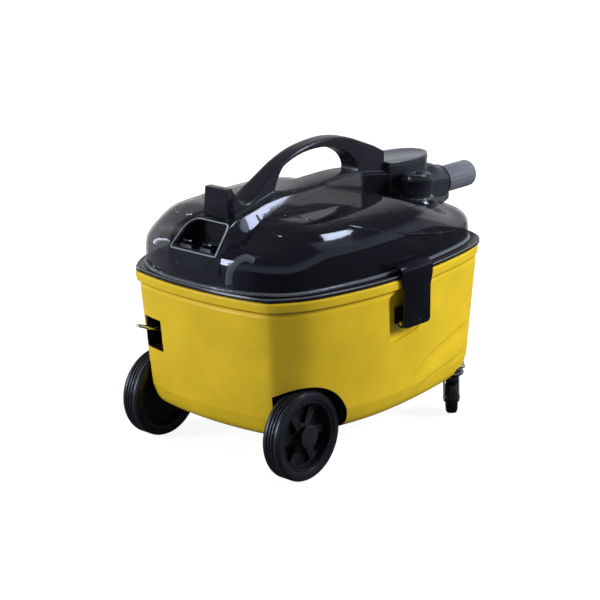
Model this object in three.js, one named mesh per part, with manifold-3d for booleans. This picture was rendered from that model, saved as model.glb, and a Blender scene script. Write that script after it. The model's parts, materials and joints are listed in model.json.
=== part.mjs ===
// Spray-extraction carpet cleaner: a wheeled tub with a lift-off smoked lid, a carrying
// handle, a separator chamber with a hose cuff, two side latches, two big wheels and two
// swivel casters. Millimetres, +Z up, +X towards the hose end.

import * as THREE from 'three';
import { mergeVertices } from 'three/addons/utils/BufferGeometryUtils.js';
import Module from 'manifold-3d';

const wasm = await Module();
wasm.setup();

// ---------------------------------------------------------------- driving dimensions

const GAP = 0.3;                    // clearance between pieces that touch

const WHEEL = { radius: 65, width: 31, x: -178.5, face: 156, rim: 50.4, axle: 5 };
const RIM_Z = 263.5;                 // top edge of the tub
const FLOOR_Z = 59;                  // underside of the tub
const WALL = 3;
const RIM = { endX: 243.5, cornerX: 227.5, cornerY: 128.5 };
const DRAFT = { x: 0.925, y: 0.94 }; // size of the tub's foot against its rim

const DECK = { bottom: RIM_Z + GAP, top: 269.7 };
const DOME = { base: 270, wall: 2.6, power: 5.4, crown: 353, nearDip: 19, farDip: 33 };
const HOOD = { wall: 2.4, endX: -196, farX: 182, crown: 338, farDip: 38 };
const NICHE = { x: -188, footY: 44, headY: 37, floor: 316, top: 352, corner: 14 };
const ROCKER = { x: -221, y: 19, length: 25, width: 17, axisZ: 322.9, tilt: 9 };
const HANDLE = { width: 42, startX: -181.7, endX: 147 };
const POST = { x0: -194.5, x1: -182, foot: 340, top: 398, footWidth: 54.8, topWidth: 42.6 };
const CHAMBER = { x: 192, halfLength: 65, halfWidth: 38, flatX: 147.3, bottom: 286, top: 375.7, wall: 2.6 };
const SOCKET = { z: 319, halfWidth: 27, endX: 296, bottom: 286 };
const CUFF = { radius: 21, bore: 17.5, startX: 300, endX: 374 };
const DOWN_PIPE = { x: 205, radius: 16, bore: 13.6, bottom: 205 };
const FLOAT = { x: 205, cage: 13, ball: 8.6, bottom: 334 };
const CAP = { x: 170, y: -63, radius: 22.8, bottom: 332.3, top: 363.8, bore: 7 };
const PICKUP = { x: -207, y: -34, radius: 4.8 };
const LATCH = { x: 9, width: 68, foot: 58, face: 196, bottom: 190.5, seat: 177 };
const LATCH_PIN = { y: 187.8, z: 197.5, radius: 2.5 };
const CASTER = { x: 180, y: 124, radius: 25, width: 17, trail: 15, ceiling: 75.5 };
const HOOK = { x: -208, y: 104.5, z: 175, reach: 47, width: 19, wire: 2, rise: 20 };
const INLET = { x: 228, y: 60, z: 190, halfY: 20, halfZ: 18 };
const MOTOR = { x: -50, radius: 58 };

const COLOUR = {
  yellow: { color: 0xcfb528, roughness: 0.38, metalness: 0 },
  black: { color: 0x141417, roughness: 0.25, metalness: 0 },
  matteBlack: { color: 0x1a1a1c, roughness: 0.6, metalness: 0 },
  rubber: { color: 0x1c1d20, roughness: 0.62, metalness: 0 },
  smoke: { color: 0x3a3c42, roughness: 0.08, metalness: 0, transparent: true, opacity: 0.55 },
  steel: { color: 0xb9bcc2, roughness: 0.28, metalness: 1 },
  greyPlastic: { color: 0x83868d, roughness: 0.5, metalness: 0 },
  whiteTank: { color: 0xd9dad6, roughness: 0.45, metalness: 0 },
  brass: { color: 0xb08d4a, roughness: 0.35, metalness: 1 },
  clear: { color: 0xdfe6ea, roughness: 0.15, metalness: 0, transparent: true, opacity: 0.5 },
};

// ---------------------------------------------------------------- solids and booleans

function solid(geometry) {
  const bare = geometry.index ? geometry.toNonIndexed() : geometry.clone();
  bare.deleteAttribute('normal');
  bare.deleteAttribute('uv');
  const merged = mergeVertices(bare, 1e-4);
  const vertProperties = new Float32Array(merged.attributes.position.array);
  const triVerts = new Uint32Array(merged.index.array);
  return new wasm.Manifold(new wasm.Mesh({ numProp: 3, vertProperties, triVerts }));
}

function geometryOf(manifold) {
  const mesh = manifold.getMesh();
  const geometry = new THREE.BufferGeometry();
  geometry.setAttribute('position', new THREE.BufferAttribute(new Float32Array(mesh.vertProperties), 3));
  geometry.setIndex(new THREE.BufferAttribute(new Uint32Array(mesh.triVerts), 1));
  geometry.computeVertexNormals();
  return geometry;
}

const asSolid = (item) => (item.isBufferGeometry ? solid(item) : item);

function join(first, ...others) {
  return others.reduce((sum, item) => sum.add(asSolid(item)), asSolid(first));
}

function cut(first, ...others) {
  return others.reduce((rest, item) => rest.subtract(asSolid(item)), asSolid(first));
}

function common(first, second) {
  return asSolid(first).intersect(asSolid(second));
}

// ---------------------------------------------------------------- shape helpers

// A box between two corners.
function block(x0, x1, y0, y1, z0, z1) {
  const box = new THREE.BoxGeometry(x1 - x0, y1 - y0, z1 - z0);
  return box.translate((x0 + x1) / 2, (y0 + y1) / 2, (z0 + z1) / 2);
}

// A closed profile of [radius, height] points turned about the Z axis.
function turned(profile, segments = 32) {
  const points = profile.map(([radius, height]) => new THREE.Vector2(radius, height));
  return new THREE.LatheGeometry(points, segments).rotateX(Math.PI / 2);
}

// A plain round bar about Z.
function rod(radius, z0, z1, segments = 24) {
  return turned([[0, z0], [radius, z0], [radius, z1], [0, z1]], segments);
}

// A tube about Z with a square section.
function ring(inner, outer, z0, z1, segments = 32) {
  return turned([[inner, z0], [outer, z0], [outer, z1], [inner, z1], [inner, z0]], segments);
}

// Turns a piece made about Z so that it lies about Y or X.
const aboutY = (geometry) => geometry.rotateX(Math.PI / 2);
const aboutX = (geometry) => geometry.rotateY(Math.PI / 2);

// A side-view outline in X and Z, centred on y = 0.
function sideExtrude(shape, width, curveSegments = 12) {
  const geometry = new THREE.ExtrudeGeometry(shape, { depth: width, bevelEnabled: false, curveSegments });
  return geometry.translate(0, 0, -width / 2).rotateX(Math.PI / 2);
}

// A plan outline in X and Y raised from z0 to z1.
function planExtrude(shape, z0, z1, curveSegments = 12) {
  const geometry = new THREE.ExtrudeGeometry(shape, { depth: z1 - z0, bevelEnabled: false, curveSegments });
  return geometry.translate(0, 0, z0);
}

function roundedRectangle(x0, x1, y0, y1, radius) {
  const shape = new THREE.Shape();
  shape.moveTo(x0 + radius, y0);
  shape.lineTo(x1 - radius, y0);
  shape.absarc(x1 - radius, y0 + radius, radius, -Math.PI / 2, 0, false);
  shape.lineTo(x1, y1 - radius);
  shape.absarc(x1 - radius, y1 - radius, radius, 0, Math.PI / 2, false);
  shape.lineTo(x0 + radius, y1);
  shape.absarc(x0 + radius, y1 - radius, radius, Math.PI / 2, Math.PI, false);
  shape.lineTo(x0, y0 + radius);
  shape.absarc(x0 + radius, y0 + radius, radius, Math.PI, 1.5 * Math.PI, false);
  return shape;
}

// A round bar bent along a curve.
function bentTube(points, radius, steps, sides = 10) {
  const section = new THREE.Shape();
  section.absarc(0, 0, radius, 0, 2 * Math.PI, false);
  const extrudePath = new THREE.CatmullRomCurve3(points, false, 'catmullrom', 0.5);
  const options = { extrudePath, steps, curveSegments: sides / 2, bevelEnabled: false };
  return new THREE.ExtrudeGeometry(section, options);
}

// Skins a stack of rings that have equal point counts, closed by a fan at each end.
function loft(rings) {
  const count = rings[0].length;
  const vertices = rings.flat();
  const middle = (points) => points.reduce((sum, p) => sum.add(p), new THREE.Vector3()).divideScalar(count);
  vertices.push(middle(rings[0]), middle(rings[rings.length - 1]));
  const foot = rings.length * count;
  const last = (rings.length - 1) * count;
  const index = [];
  for (let i = 0; i < count; i += 1) {
    const j = (i + 1) % count;
    index.push(foot, j, i, foot + 1, last + i, last + j);
    for (let level = 0; level < last; level += count) {
      index.push(level + i, level + j, level + count + j, level + i, level + count + j, level + count + i);
    }
  }
  const geometry = new THREE.BufferGeometry().setFromPoints(vertices);
  geometry.setIndex(index);
  return geometry;
}

// ---------------------------------------------------------------- the plan outline

// Half of the rim's outline, on the -Y side: a bowed end up to the crease at the near
// corner, then one long curve round to the middle of the hose end.
function halfOutline(endSteps, sideSteps) {
  const { endX, cornerX, cornerY } = RIM;
  const end = new THREE.QuadraticBezierCurve(
    new THREE.Vector2(-endX, 0),
    new THREE.Vector2(-endX, -cornerY * 0.55),
    new THREE.Vector2(-cornerX, -cornerY),
  );
  const side = new THREE.SplineCurve([
    new THREE.Vector2(-cornerX, -cornerY),
    new THREE.Vector2(-179, -160.5),
    new THREE.Vector2(-98, -180.5),
    new THREE.Vector2(-20, -186.5),
    new THREE.Vector2(80, -180),
    new THREE.Vector2(188, -159.5),
    new THREE.Vector2(228, -124),
    new THREE.Vector2(241, -62),
    new THREE.Vector2(244, 0),
  ]);
  return [...end.getSpacedPoints(endSteps).slice(0, -1), ...side.getSpacedPoints(sideSteps)];
}

// The whole outline, with its points running anticlockwise seen from above.
function outline(endSteps = 4, sideSteps = 15) {
  const half = halfOutline(endSteps, sideSteps);
  const other = half.slice(1, -1).reverse().map((p) => new THREE.Vector2(p.x, -p.y));
  return [...half, ...other];
}

// Moves each outline point outwards by `grow`, square to the outline.
function offset(points, grow) {
  return points.map((p, i) => {
    const before = points[(i + points.length - 1) % points.length];
    const after = points[(i + 1) % points.length];
    const along = after.clone().sub(before).normalize();
    return new THREE.Vector2(p.x + along.y * grow, p.y - along.x * grow);
  });
}

const level = (points, z, sx = 1, sy = 1) => points.map((p) => new THREE.Vector3(p.x * sx, p.y * sy, z));

const lerp = THREE.MathUtils.lerp;

const RIM_POINTS = outline();

// The tub's section at a height: its walls lean out from the foot to the rim.
function tubRing(z, grow) {
  const t = (z - FLOOR_Z) / (RIM_Z - FLOOR_Z);
  return level(offset(RIM_POINTS, grow), z, lerp(DRAFT.x, 1, t), lerp(DRAFT.y, 1, t));
}

// ---------------------------------------------------------------- tub

// The room that each big wheel stands in, widened by `grow` for its walled side.
function wheelPocket(side, grow) {
  const radius = 70 + grow;
  const inner = 121 - grow;
  const round = aboutY(rod(radius, -50, 50, 32)).translate(WHEEL.x, side * (inner + 50), WHEEL.radius);
  const corner = block(WHEEL.x - 33 - grow, WHEEL.x + 2, -50, 50, -20, 122 + grow);
  corner.translate(0, side * (inner + 50), 0);
  return join(round, corner);
}

// The step in the tub's foot that each caster stands under.
function casterPocket(side, grow) {
  const room = rod(35 + grow, -20, CASTER.ceiling + grow, 20);
  return solid(room.translate(CASTER.x, side * (CASTER.y + 2), 0));
}

const axleChannel = (grow) => block(
  WHEEL.x - 9 - grow, WHEEL.x + 9 + grow, -200, 200, -20, WHEEL.radius + 9 + grow);

// The shallow recess in each long wall that the latch's foot turns in.
function latchRecess(side, grow) {
  const { x, foot, seat } = LATCH;
  const half = foot / 2 + 3 + grow;
  const room = block(x - half, x + half, -20 - grow, 20 + grow, 180 - grow, 226 + grow);
  return room.translate(0, side * (seat + 20), 0);
}

// The flat-bottomed recesses in the hose end for the mains inlet and the spray coupling.
function inletRecess(side, grow) {
  const { x, y, z, halfY, halfZ } = INLET;
  const reachY = halfY + grow;
  const reachZ = halfZ + grow;
  return block(x - grow, 300, side * y - reachY, side * y + reachY, z - reachZ, z + reachZ);
}

function wallCuts(grow) {
  const cuts = [axleChannel(grow), hookPocket(grow)];
  for (const side of [-1, 1]) {
    cuts.push(wheelPocket(side, grow), casterPocket(side, grow));
    cuts.push(latchRecess(side, grow), inletRecess(side, grow));
  }
  return cuts;
}

// The opening in the near end that the cord hook folds out of.
const WINDOW = { y0: 80, y1: 121, z0: 151, z1: 198, depth: 44 };

function hookPocket(grow) {
  const { y0, y1, z0, z1, depth } = WINDOW;
  return block(-260, -230 + depth + grow, y0 - grow, y1 + grow, z0 - grow, z1 + grow);
}

function tub() {
  const outer = loft([
    tubRing(FLOOR_Z, -26), tubRing(FLOOR_Z + 2, -16), tubRing(FLOOR_Z + 12, -6), tubRing(FLOOR_Z + 32, 0),
    tubRing(RIM_Z - 14.5, 0), tubRing(RIM_Z - 13.5, 4), tubRing(RIM_Z - 2, 4.5), tubRing(RIM_Z, 3),
  ]);
  const inner = loft([
    tubRing(FLOOR_Z + WALL, -26), tubRing(FLOOR_Z + 14, -WALL - 7), tubRing(FLOOR_Z + 34, -WALL),
    tubRing(RIM_Z + 5, -WALL + 1),
  ]);
  const shell = cut(cut(outer, ...wallCuts(0)), cut(inner, ...wallCuts(WALL)));
  return cut(shell, inletHole(GAP), couplingHole(GAP));
}

// ---------------------------------------------------------------- dome

// Half of the dome's foot, on the -Y side: close to the rim at the near end and along the
// sides, and cut well back at the corners.
function domeFoot() {
  const curve = new THREE.SplineCurve([
    new THREE.Vector2(-242, 0),
    new THREE.Vector2(-238, -58),
    new THREE.Vector2(-221, -110),
    new THREE.Vector2(-186, -147),
    new THREE.Vector2(-98, -168),
    new THREE.Vector2(-20, -174),
    new THREE.Vector2(80, -168),
    new THREE.Vector2(180, -148),
    new THREE.Vector2(219, -114),
    new THREE.Vector2(232, -58),
    new THREE.Vector2(234, 0),
  ]);
  const half = curve.getSpacedPoints(18);
  const other = half.slice(1, -1).reverse().map((p) => new THREE.Vector2(p.x, -p.y));
  return [...half, ...other];
}

const DOME_FOOT = domeFoot();

// Height of the roof along the machine, which dips towards the console at the near end.
function crownZ(x) {
  const near = THREE.MathUtils.smoothstep(-x, 130, 200);
  const far = THREE.MathUtils.smoothstep(x, 55, 172);
  return DOME.crown - DOME.nearDip * near - DOME.farDip * far;
}

// The dome's section at u, from 1 at its foot to 0 along its crown.
function domeRing(u, grow) {
  const lift = (1 - u ** DOME.power) ** (1 / DOME.power);
  return offset(DOME_FOOT, grow).map((p) => {
    const x = p.x * (0.4 + 0.6 * u);
    return new THREE.Vector3(x, p.y * u, lerp(DOME.base, crownZ(x) + grow, lift));
  });
}

function domeBody(grow, skirt) {
  const foot = domeRing(1, grow).map((p) => new THREE.Vector3(p.x, p.y, skirt));
  const steps = [0.99, 0.96, 0.9, 0.8, 0.62, 0.3];
  return loft([foot, ...steps.map((u) => domeRing(u, grow))]);
}

// The raised spine along the roof: [x, top height, top half-width, edge height, edge half-width].
const SPINE = [
  [-241, 318, 46, 300, 50],
  [-229, 331, 44, 312, 50],
  [-216, 343.5, 40, 324, 49],
  [-203, 351, 36, 331, 49],
  [-189, 355, 33, 334, 49],
  [-155, 359, 28, 346, 45],
  [-110, 366, 24, 355, 38],
  [-60, 369, 24, 364, 32],
  [0, 370.5, 24, 369, 28],
  [60, 373, 24, 372, 27],
  [100, 370.5, 24, 369, 27],
  [165, 360, 24, 358, 28],
];

function spine(grow) {
  const last = SPINE.length - 1;
  const rings = SPINE.map(([x, topZ, topY, edgeZ, edgeY], i) => {
    const end = (i === 0 ? -grow : 0) + (i === last ? grow : 0);
    const side = [[edgeY + grow, 290], [edgeY + grow, edgeZ], [topY + grow, topZ + grow]];
    const section = [...side.map(([y, z]) => [-y, z]).reverse(), ...side];
    return section.map(([y, z]) => new THREE.Vector3(x + end, y, z));
  });
  return loft(rings);
}

// The notch in the near end that leaves the switches free to reach, wider at its foot.
function niche(grow) {
  const { x, footY, headY, floor, top, corner } = NICHE;
  const shape = new THREE.Shape();
  shape.moveTo(-footY - grow, floor - grow);
  shape.lineTo(footY + grow, floor - grow);
  shape.lineTo(headY + grow, top - corner);
  shape.quadraticCurveTo(headY - 2 + grow, top + grow, headY - corner, top + grow);
  shape.lineTo(-headY + corner, top + grow);
  shape.quadraticCurveTo(-headY + 2 - grow, top + grow, -headY - grow, top - corner);
  shape.closePath();
  const room = new THREE.ExtrudeGeometry(shape, { depth: 100, bevelEnabled: false, curveSegments: 4 });
  return room.rotateX(Math.PI / 2).rotateZ(-Math.PI / 2).translate(x + grow, 0, 0);
}

const DOME_NECK = { radius: 19, top: 348.8, foot: 33, base: 321 };

function dome() {
  const { radius: r, top, foot, base } = DOME_NECK;
  const neck = turned([
    [0, 300], [foot, 300], [foot - 1, base], [24, base + 4], [r, base + 8], [r, top], [0, top],
  ], 24);
  const outer = join(domeBody(0, DOME.base), spine(0), neck.translate(CAP.x, CAP.y, 0));
  const throat = turned([
    [0, 290], [foot - 3, 290], [foot - 4, base - 3], [r - 3, base + 5], [r - 3, top + 5], [0, top + 5],
  ], 24);
  const room = join(domeBody(-DOME.wall, DOME.base - 4), spine(-DOME.wall));
  const inner = join(room, throat.translate(CAP.x, CAP.y, 0));
  return cut(cut(outer, niche(0)), cut(inner, niche(DOME.wall)), chamberRoom(GAP));
}

// ---------------------------------------------------------------- deck and hood

const deckEdge = (grow, z) => level(offset(RIM_POINTS, grow), z);

// The soft ring that the lid seals the tub with, grown to make the groove that holds it.
function rimGasket(grow = 0) {
  const z0 = DECK.bottom - 1;
  const z1 = DECK.bottom + 2.2 + grow;
  const outer = loft([deckEdge(2 + grow, z0 + 1 - grow * 4), deckEdge(2 + grow, z1)]);
  return cut(outer, loft([deckEdge(-1.5 - grow, z0 - 2), deckEdge(-1.5 - grow, z1 + 1)]));
}

// The black plate that closes the tub, with a locating rib that drops inside the rim.
function deck() {
  const { bottom, top } = DECK;
  const plate = loft([
    deckEdge(1.5, bottom), deckEdge(3.5, bottom + 1.2), deckEdge(3.5, top - 1.8), deckEdge(1.5, top),
  ]);
  const rib = cut(
    loft([deckEdge(-9, bottom - 9), deckEdge(-7.5, bottom + 1)]),
    loft([deckEdge(-12, bottom - 10), deckEdge(-12, bottom - 0.01)]),
  );
  const motorHole = rod(MOTOR.radius + 1.5, 200, 300, 20).translate(MOTOR.x, 0, 0);
  const suctionHole = rod(DOWN_PIPE.radius + GAP, 200, 300, 24).translate(DOWN_PIPE.x, 0, 0);
  const tubeHole = rod(PICKUP.radius + 1, 200, 300, 16).translate(PICKUP.x, PICKUP.y, 0);
  return cut(join(plate, rib), rimGasket(GAP), motorHole, suctionHole, tubeHole);
}

// The black shell over the motor, with a lower part towards the hose end.
function hoodRing(u, grow) {
  const lift = (1 - u ** 4) ** (1 / 4);
  return offset(DOME_FOOT, grow - 14).map((p) => {
    const span = p.x < 0 ? HOOD.endX / -228 : HOOD.farX / 220;
    const x = p.x * span * (0.35 + 0.65 * u);
    const crown = HOOD.crown - HOOD.farDip * THREE.MathUtils.smoothstep(x, -30, 90);
    return new THREE.Vector3(x, p.y * u, lerp(DOME.base + GAP, crown + grow, lift));
  });
}

function hoodBody(grow, skirt) {
  const foot = hoodRing(1, grow).map((p) => new THREE.Vector3(p.x, p.y, skirt));
  return loft([foot, ...[0.98, 0.9, 0.75, 0.4, 0.12].map((u) => hoodRing(u, grow))]);
}

function hood() {
  const shell = cut(hoodBody(0, DOME.base + GAP), hoodBody(-HOOD.wall, DOME.base - 4));
  return cut(shell, niche(DOME.wall + GAP), chamberRoom(1));
}

// ---------------------------------------------------------------- console and switches

// The console tray that lines the notch, with a raised bezel round each switch.
function consoleTray() {
  const lining = cut(common(niche(-GAP), join(domeBody(-GAP, DOME.base), spine(-GAP))), niche(-GAP - 2));
  const { x, y, length, width, axisZ } = ROCKER;
  const around = (side, marginX, marginY, z0, z1) => block(
    x - length / 2 - marginX, x + length / 2 + marginX,
    side * y - width / 2 - marginY, side * y + width / 2 + marginY, z0, z1);
  const bezels = [-1, 1].map((side) => around(side, 3.2, 2.5, NICHE.floor + 1, axisZ + 0.6));
  const wells = [-1, 1].map((side) => around(side, 1.2, 0.5, NICHE.floor + 2, axisZ + 5));
  return cut(join(lining, ...bezels), ...wells);
}

// A rocker key, resting with one end pressed.
function rocker(side) {
  const { x, y, length, width, axisZ, tilt } = ROCKER;
  const half = length / 2;
  const shape = new THREE.Shape();
  shape.moveTo(-half, 1);
  shape.lineTo(-3, -2);
  shape.lineTo(3, -2);
  shape.lineTo(half, 1);
  shape.lineTo(half, 4.6);
  shape.quadraticCurveTo(0, 1.6, -half, 4.6);
  shape.closePath();
  const key = sideExtrude(shape, width, 4).rotateY(THREE.MathUtils.degToRad(tilt));
  return key.translate(x, side * y, axisZ);
}

// ---------------------------------------------------------------- handle

const pointList = (pairs) => pairs.map(([x, z]) => new THREE.Vector2(x, z));

// The bow's stations, each from its crown line to its underside: [x, z, x, z].
const BOW = [
  [-181.7, 396.5, -181.7, 350], [-177, 390.5, -177, 350], [-171.5, 382, -171.5, 350],
  [-165, 375.5, -164, 350], [-157, 372, -154, 350], [-147, 373, -138, 352],
  [-133, 379, -116, 354], [-119, 387.5, -100, 364],
  [-105, 396, -91.5, 380.5], [-90, 405.5, -83, 395], [-74, 414.5, -71, 408], [-54, 422.5, -52, 416],
  [-33, 428.5, -30, 421.3], [-10, 432.3, -8, 423.2], [14, 434.3, 14, 422.5], [38, 434.3, 34, 419],
  [62, 431, 52, 412.5], [84, 424.5, 67, 405], [102, 417.5, 78, 396.5], [116, 412, 85.5, 386],
  [127, 407.5, 88, 377], [136, 403, 84, 364], [142, 400, 100, 350], [147, 397.5, 147, 350],
];

// The top edge of the handle's base along the spine: [x, z].
const BASE_TOP = [
  [147, 366], [88, 374.5], [57, 376.5], [20, 376], [-35, 374.5], [-70, 375.5], [-94, 378.5], [-110, 376.5],
  [-181.7, 358.5],
];

// Half the bow's width: full at its front, waisted at the grip and wider again behind.
function bowHalfWidth(x) {
  const { width } = HANDLE;
  const waist = THREE.MathUtils.smoothstep(x, -150, -65) * 0.31 * width / 2;
  const flare = THREE.MathUtils.smoothstep(x, 70, 147) * 0.15 * width / 2;
  return width / 2 - waist + flare;
}

// One section of the bow: a crowned top, upright sides and a flat underside.
function bowSection([crownX, crownZ, footX, footZ]) {
  const half = bowHalfWidth(crownX);
  const depth = Math.hypot(crownX - footX, crownZ - footZ);
  const at = (y, drop) => new THREE.Vector3(
    lerp(crownX, footX, drop / depth), y, lerp(crownZ, footZ, drop / depth));
  const near = [
    at(-half + 1.5, depth), at(-half, depth - 1.5), at(-half, 3.2), at(-half + 1.6, 1.6),
    at(-half * 0.5, 0.4),
  ];
  const far = near.map((p) => new THREE.Vector3(p.x, -p.y, p.z)).reverse();
  return [...near, ...far].reverse();
}

// The carrying handle: a bow with a saddle at its front, on a base along the spine.
function handle() {
  const { width, startX, endX } = HANDLE;
  const base = new THREE.Shape(pointList([[startX, 340], [endX, 340], ...BASE_TOP]));
  return cut(join(loft(BOW.map(bowSection)), sideExtrude(base, width + 2)), spine(GAP));
}

// The matte block at the handle's front end, wider at its foot.
function frontPost() {
  const { x0, x1, foot, top, footWidth, topWidth } = POST;
  const level = (width, z) => roundedRectangle(x0, x1, -width / 2, width / 2, 2).getPoints(3).slice(0, -1)
    .map(({ x, y }) => new THREE.Vector3(x, y, z));
  const upright = loft([level(footWidth, foot), level(topWidth, top)]);
  return cut(upright, spine(GAP), niche(GAP), domeBody(GAP, DOME.base));
}

// ---------------------------------------------------------------- separator chamber

// The chamber's oval plan, cut off flat where the handle ends.
function chamberPlan(grow) {
  const { x, halfLength, halfWidth, flatX } = CHAMBER;
  const a = halfLength + grow;
  const angle = Math.acos((flatX - grow - x) / a);
  const shape = new THREE.Shape();
  shape.absellipse(x, 0, a, halfWidth + grow, -angle, angle, false, 0);
  shape.closePath();
  return shape;
}

// The outside of the hose socket: a round-topped trunk along X.
function socketTrunk(grow, startX) {
  const { z, halfWidth, endX, bottom } = SOCKET;
  const r = halfWidth + grow;
  const section = new THREE.Shape();
  section.moveTo(-r, bottom - grow);
  section.lineTo(r, bottom - grow);
  section.lineTo(r, z + 5);
  section.absellipse(0, z + 5, r, 30 + grow, 0, Math.PI, false, 0);
  section.closePath();
  const trunk = new THREE.ExtrudeGeometry(section, {
    depth: endX + grow - startX, bevelEnabled: false, curveSegments: 10,
  });
  return trunk.rotateX(Math.PI / 2).rotateZ(Math.PI / 2).translate(startX, 0, 0);
}

// The room that the chamber takes out of the dome and the hood.
function chamberRoom(grow) {
  return join(planExtrude(chamberPlan(grow), CHAMBER.bottom - grow, 500, 14), socketTrunk(grow, CHAMBER.x));
}

function separatorChamber() {
  const { bottom, top, wall } = CHAMBER;
  const shell = join(planExtrude(chamberPlan(0), bottom, top, 14), socketTrunk(0, CHAMBER.x + 30));
  const cavity = planExtrude(chamberPlan(-wall), bottom + wall, top + 5, 14);
  const passage = aboutX(rod(CUFF.radius, 0, 100, 24)).translate(SOCKET.endX - 60, 0, SOCKET.z);
  const drop = rod(DOWN_PIPE.bore, 200, 300, 20).translate(DOWN_PIPE.x, 0, 0);
  return cut(shell, cavity, passage, drop);
}

function chamberLid() {
  const { top, wall } = CHAMBER;
  const cover = planExtrude(chamberPlan(0), top + GAP, top + 2.3, 14);
  const plug = planExtrude(chamberPlan(-wall - GAP), top - 5, top + 1, 14);
  return join(cover, plug);
}

// A cage under the chamber's lid that keeps the float below the suction opening.
function floatCage() {
  const { cage, bottom, x } = FLOAT;
  const top = CHAMBER.top - 5 - GAP;
  const rings = [ring(cage - 2.5, cage, bottom - 3, bottom, 12), ring(cage - 2.5, cage, top - 4, top, 12)];
  const bars = [0, 1, 2, 3].map((i) => block(cage - 2.4, cage - 0.2, -1.5, 1.5, bottom - 1, top - 1)
    .rotateZ(i * Math.PI / 2));
  const stops = [0, 1].map((i) => block(1 - cage, cage - 1, -1.2, 1.2, bottom - 3, bottom - 0.6)
    .rotateZ(i * Math.PI / 2));
  return join(...rings, ...bars, ...stops).translate([x, 0, 0]);
}

function floatBall() {
  const { ball, bottom, x } = FLOAT;
  return new THREE.SphereGeometry(ball, 12, 8).rotateX(Math.PI / 2).translate(x, 0, bottom + ball + GAP);
}

function downPipe() {
  const { x, radius, bore, bottom } = DOWN_PIPE;
  return ring(bore, radius, bottom, CHAMBER.bottom - GAP, 24).translate(x, 0, 0);
}

// ---------------------------------------------------------------- hose cuff and filler cap

function cuffCollar() {
  const inner = CUFF.radius + GAP;
  const collar = turned([
    [inner, -3.7], [SOCKET.halfWidth - 1, -3.7], [SOCKET.halfWidth - 1, 1.5], [SOCKET.halfWidth - 3, 4],
    [inner, 4], [inner, -3.7],
  ], 28);
  return aboutX(collar).translate(CUFF.startX, 0, SOCKET.z);
}

function hoseCuff() {
  const { radius, bore, startX, endX } = CUFF;
  const length = endX - startX;
  const cuff = turned([
    [bore, -14], [radius - 0.6, -14], [radius - 0.6, 6], [radius, 7], [radius, length - 1.5],
    [radius - 1.5, length], [bore, length], [bore, -14],
  ], 28);
  return aboutX(cuff).translate(startX, 0, SOCKET.z);
}

// The screw cap on the filler neck, with a knurled skirt and a hole in its crown.
function fillerCap() {
  const { radius, bottom, top, bore } = CAP;
  const ribs = 18;
  const knurl = new THREE.Shape();
  for (let i = 0; i < 2 * ribs; i += 1) {
    const angle = i * Math.PI / ribs;
    const reach = i % 2 ? radius : radius - 0.8;
    knurl[i ? 'lineTo' : 'moveTo'](reach * Math.cos(angle), reach * Math.sin(angle));
  }
  knurl.closePath();
  const crown = turned([
    [0, top - 7], [radius - 1.2, top - 7], [radius - 1.2, top - 2.5], [radius - 4, top], [0, top],
  ], 28);
  const body = join(planExtrude(knurl, bottom, top - 6), crown);
  const inside = rod(DOME_NECK.radius + 0.4, bottom - 1, top - 5, 28);
  return cut(body, inside, rod(bore, top - 10, top + 5, 20)).translate([CAP.x, CAP.y, 0]);
}

function capSeal() {
  const height = DOME_NECK.top + GAP;
  return ring(CAP.bore + 2, DOME_NECK.radius - GAP, height, height + 2.2, 24).translate(CAP.x, CAP.y, 0);
}

// ---------------------------------------------------------------- latches

// Moves a piece made on the +Y side to its place, half a turn round for the -Y side.
function onSide(piece, side) {
  const faced = side > 0 ? asSolid(piece) : asSolid(piece).rotate([0, 0, 180]);
  return faced.translate([LATCH.x, 0, 0]);
}

const latchBore = () => aboutX(rod(LATCH_PIN.radius + GAP, -60, 60, 16))
  .translate(0, LATCH_PIN.y, LATCH_PIN.z);

// The T-shaped front view of a latch: a wide head, hollow shoulders and a narrower foot.
function latchFront() {
  const { width, foot, bottom } = LATCH;
  const w = width / 2;
  const f = foot / 2;
  const shape = new THREE.Shape();
  shape.moveTo(-w, 290);
  shape.lineTo(-w, 262);
  shape.quadraticCurveTo(-f, 252, -f, 240);
  shape.lineTo(-f, bottom + 5);
  shape.quadraticCurveTo(-f, bottom, -f + 5, bottom);
  shape.lineTo(f - 5, bottom);
  shape.quadraticCurveTo(f, bottom, f, bottom + 5);
  shape.lineTo(f, 240);
  shape.quadraticCurveTo(f, 252, w, 262);
  shape.lineTo(w, 290);
  shape.closePath();
  return shape;
}

// A latch: it turns on a pin at its foot and hooks over the edge of the lid's deck.
function latch(side) {
  const { width, face, bottom, foot } = LATCH;
  const { y: pinY, z: pinZ, radius: pin } = LATCH_PIN;
  const section = new THREE.Shape(pointList([
    [face - 3.6, bottom - 1], [face, bottom - 1], [face, 275], [face - 2.5, 279], [face - 9, 281],
    [face - 19, 280.5], [face - 19.5, 278], [face - 10, 277.4], [face - 6.5, 274.5], [face - 3.6, 268.5],
  ]));
  const strip = new THREE.ExtrudeGeometry(section, { depth: width, bevelEnabled: false });
  strip.rotateX(Math.PI / 2).rotateZ(Math.PI / 2).translate(-width / 2, 0, 0);
  const outline = sideExtrude(latchFront(), 80, 4).translate(0, face - 10, 0);
  const tooth = block(-20, 20, face - 8.8, face - 2, DECK.top + 1.7, DECK.top + 4.6);
  const cheeks = [-1, 1].flatMap((end) => {
    const middle = end * (foot / 2 - 2);
    return [
      aboutX(rod(pin + 3, middle - 2, middle + 2, 16)).translate(0, pinY, pinZ),
      block(middle - 2, middle + 2, pinY, face - 2, pinZ - 5.5, pinZ + 5.5),
    ];
  });
  const lever = join(common(strip, outline), tooth, ...cheeks);
  return onSide(cut(lever, latchBore()), side);
}

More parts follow.
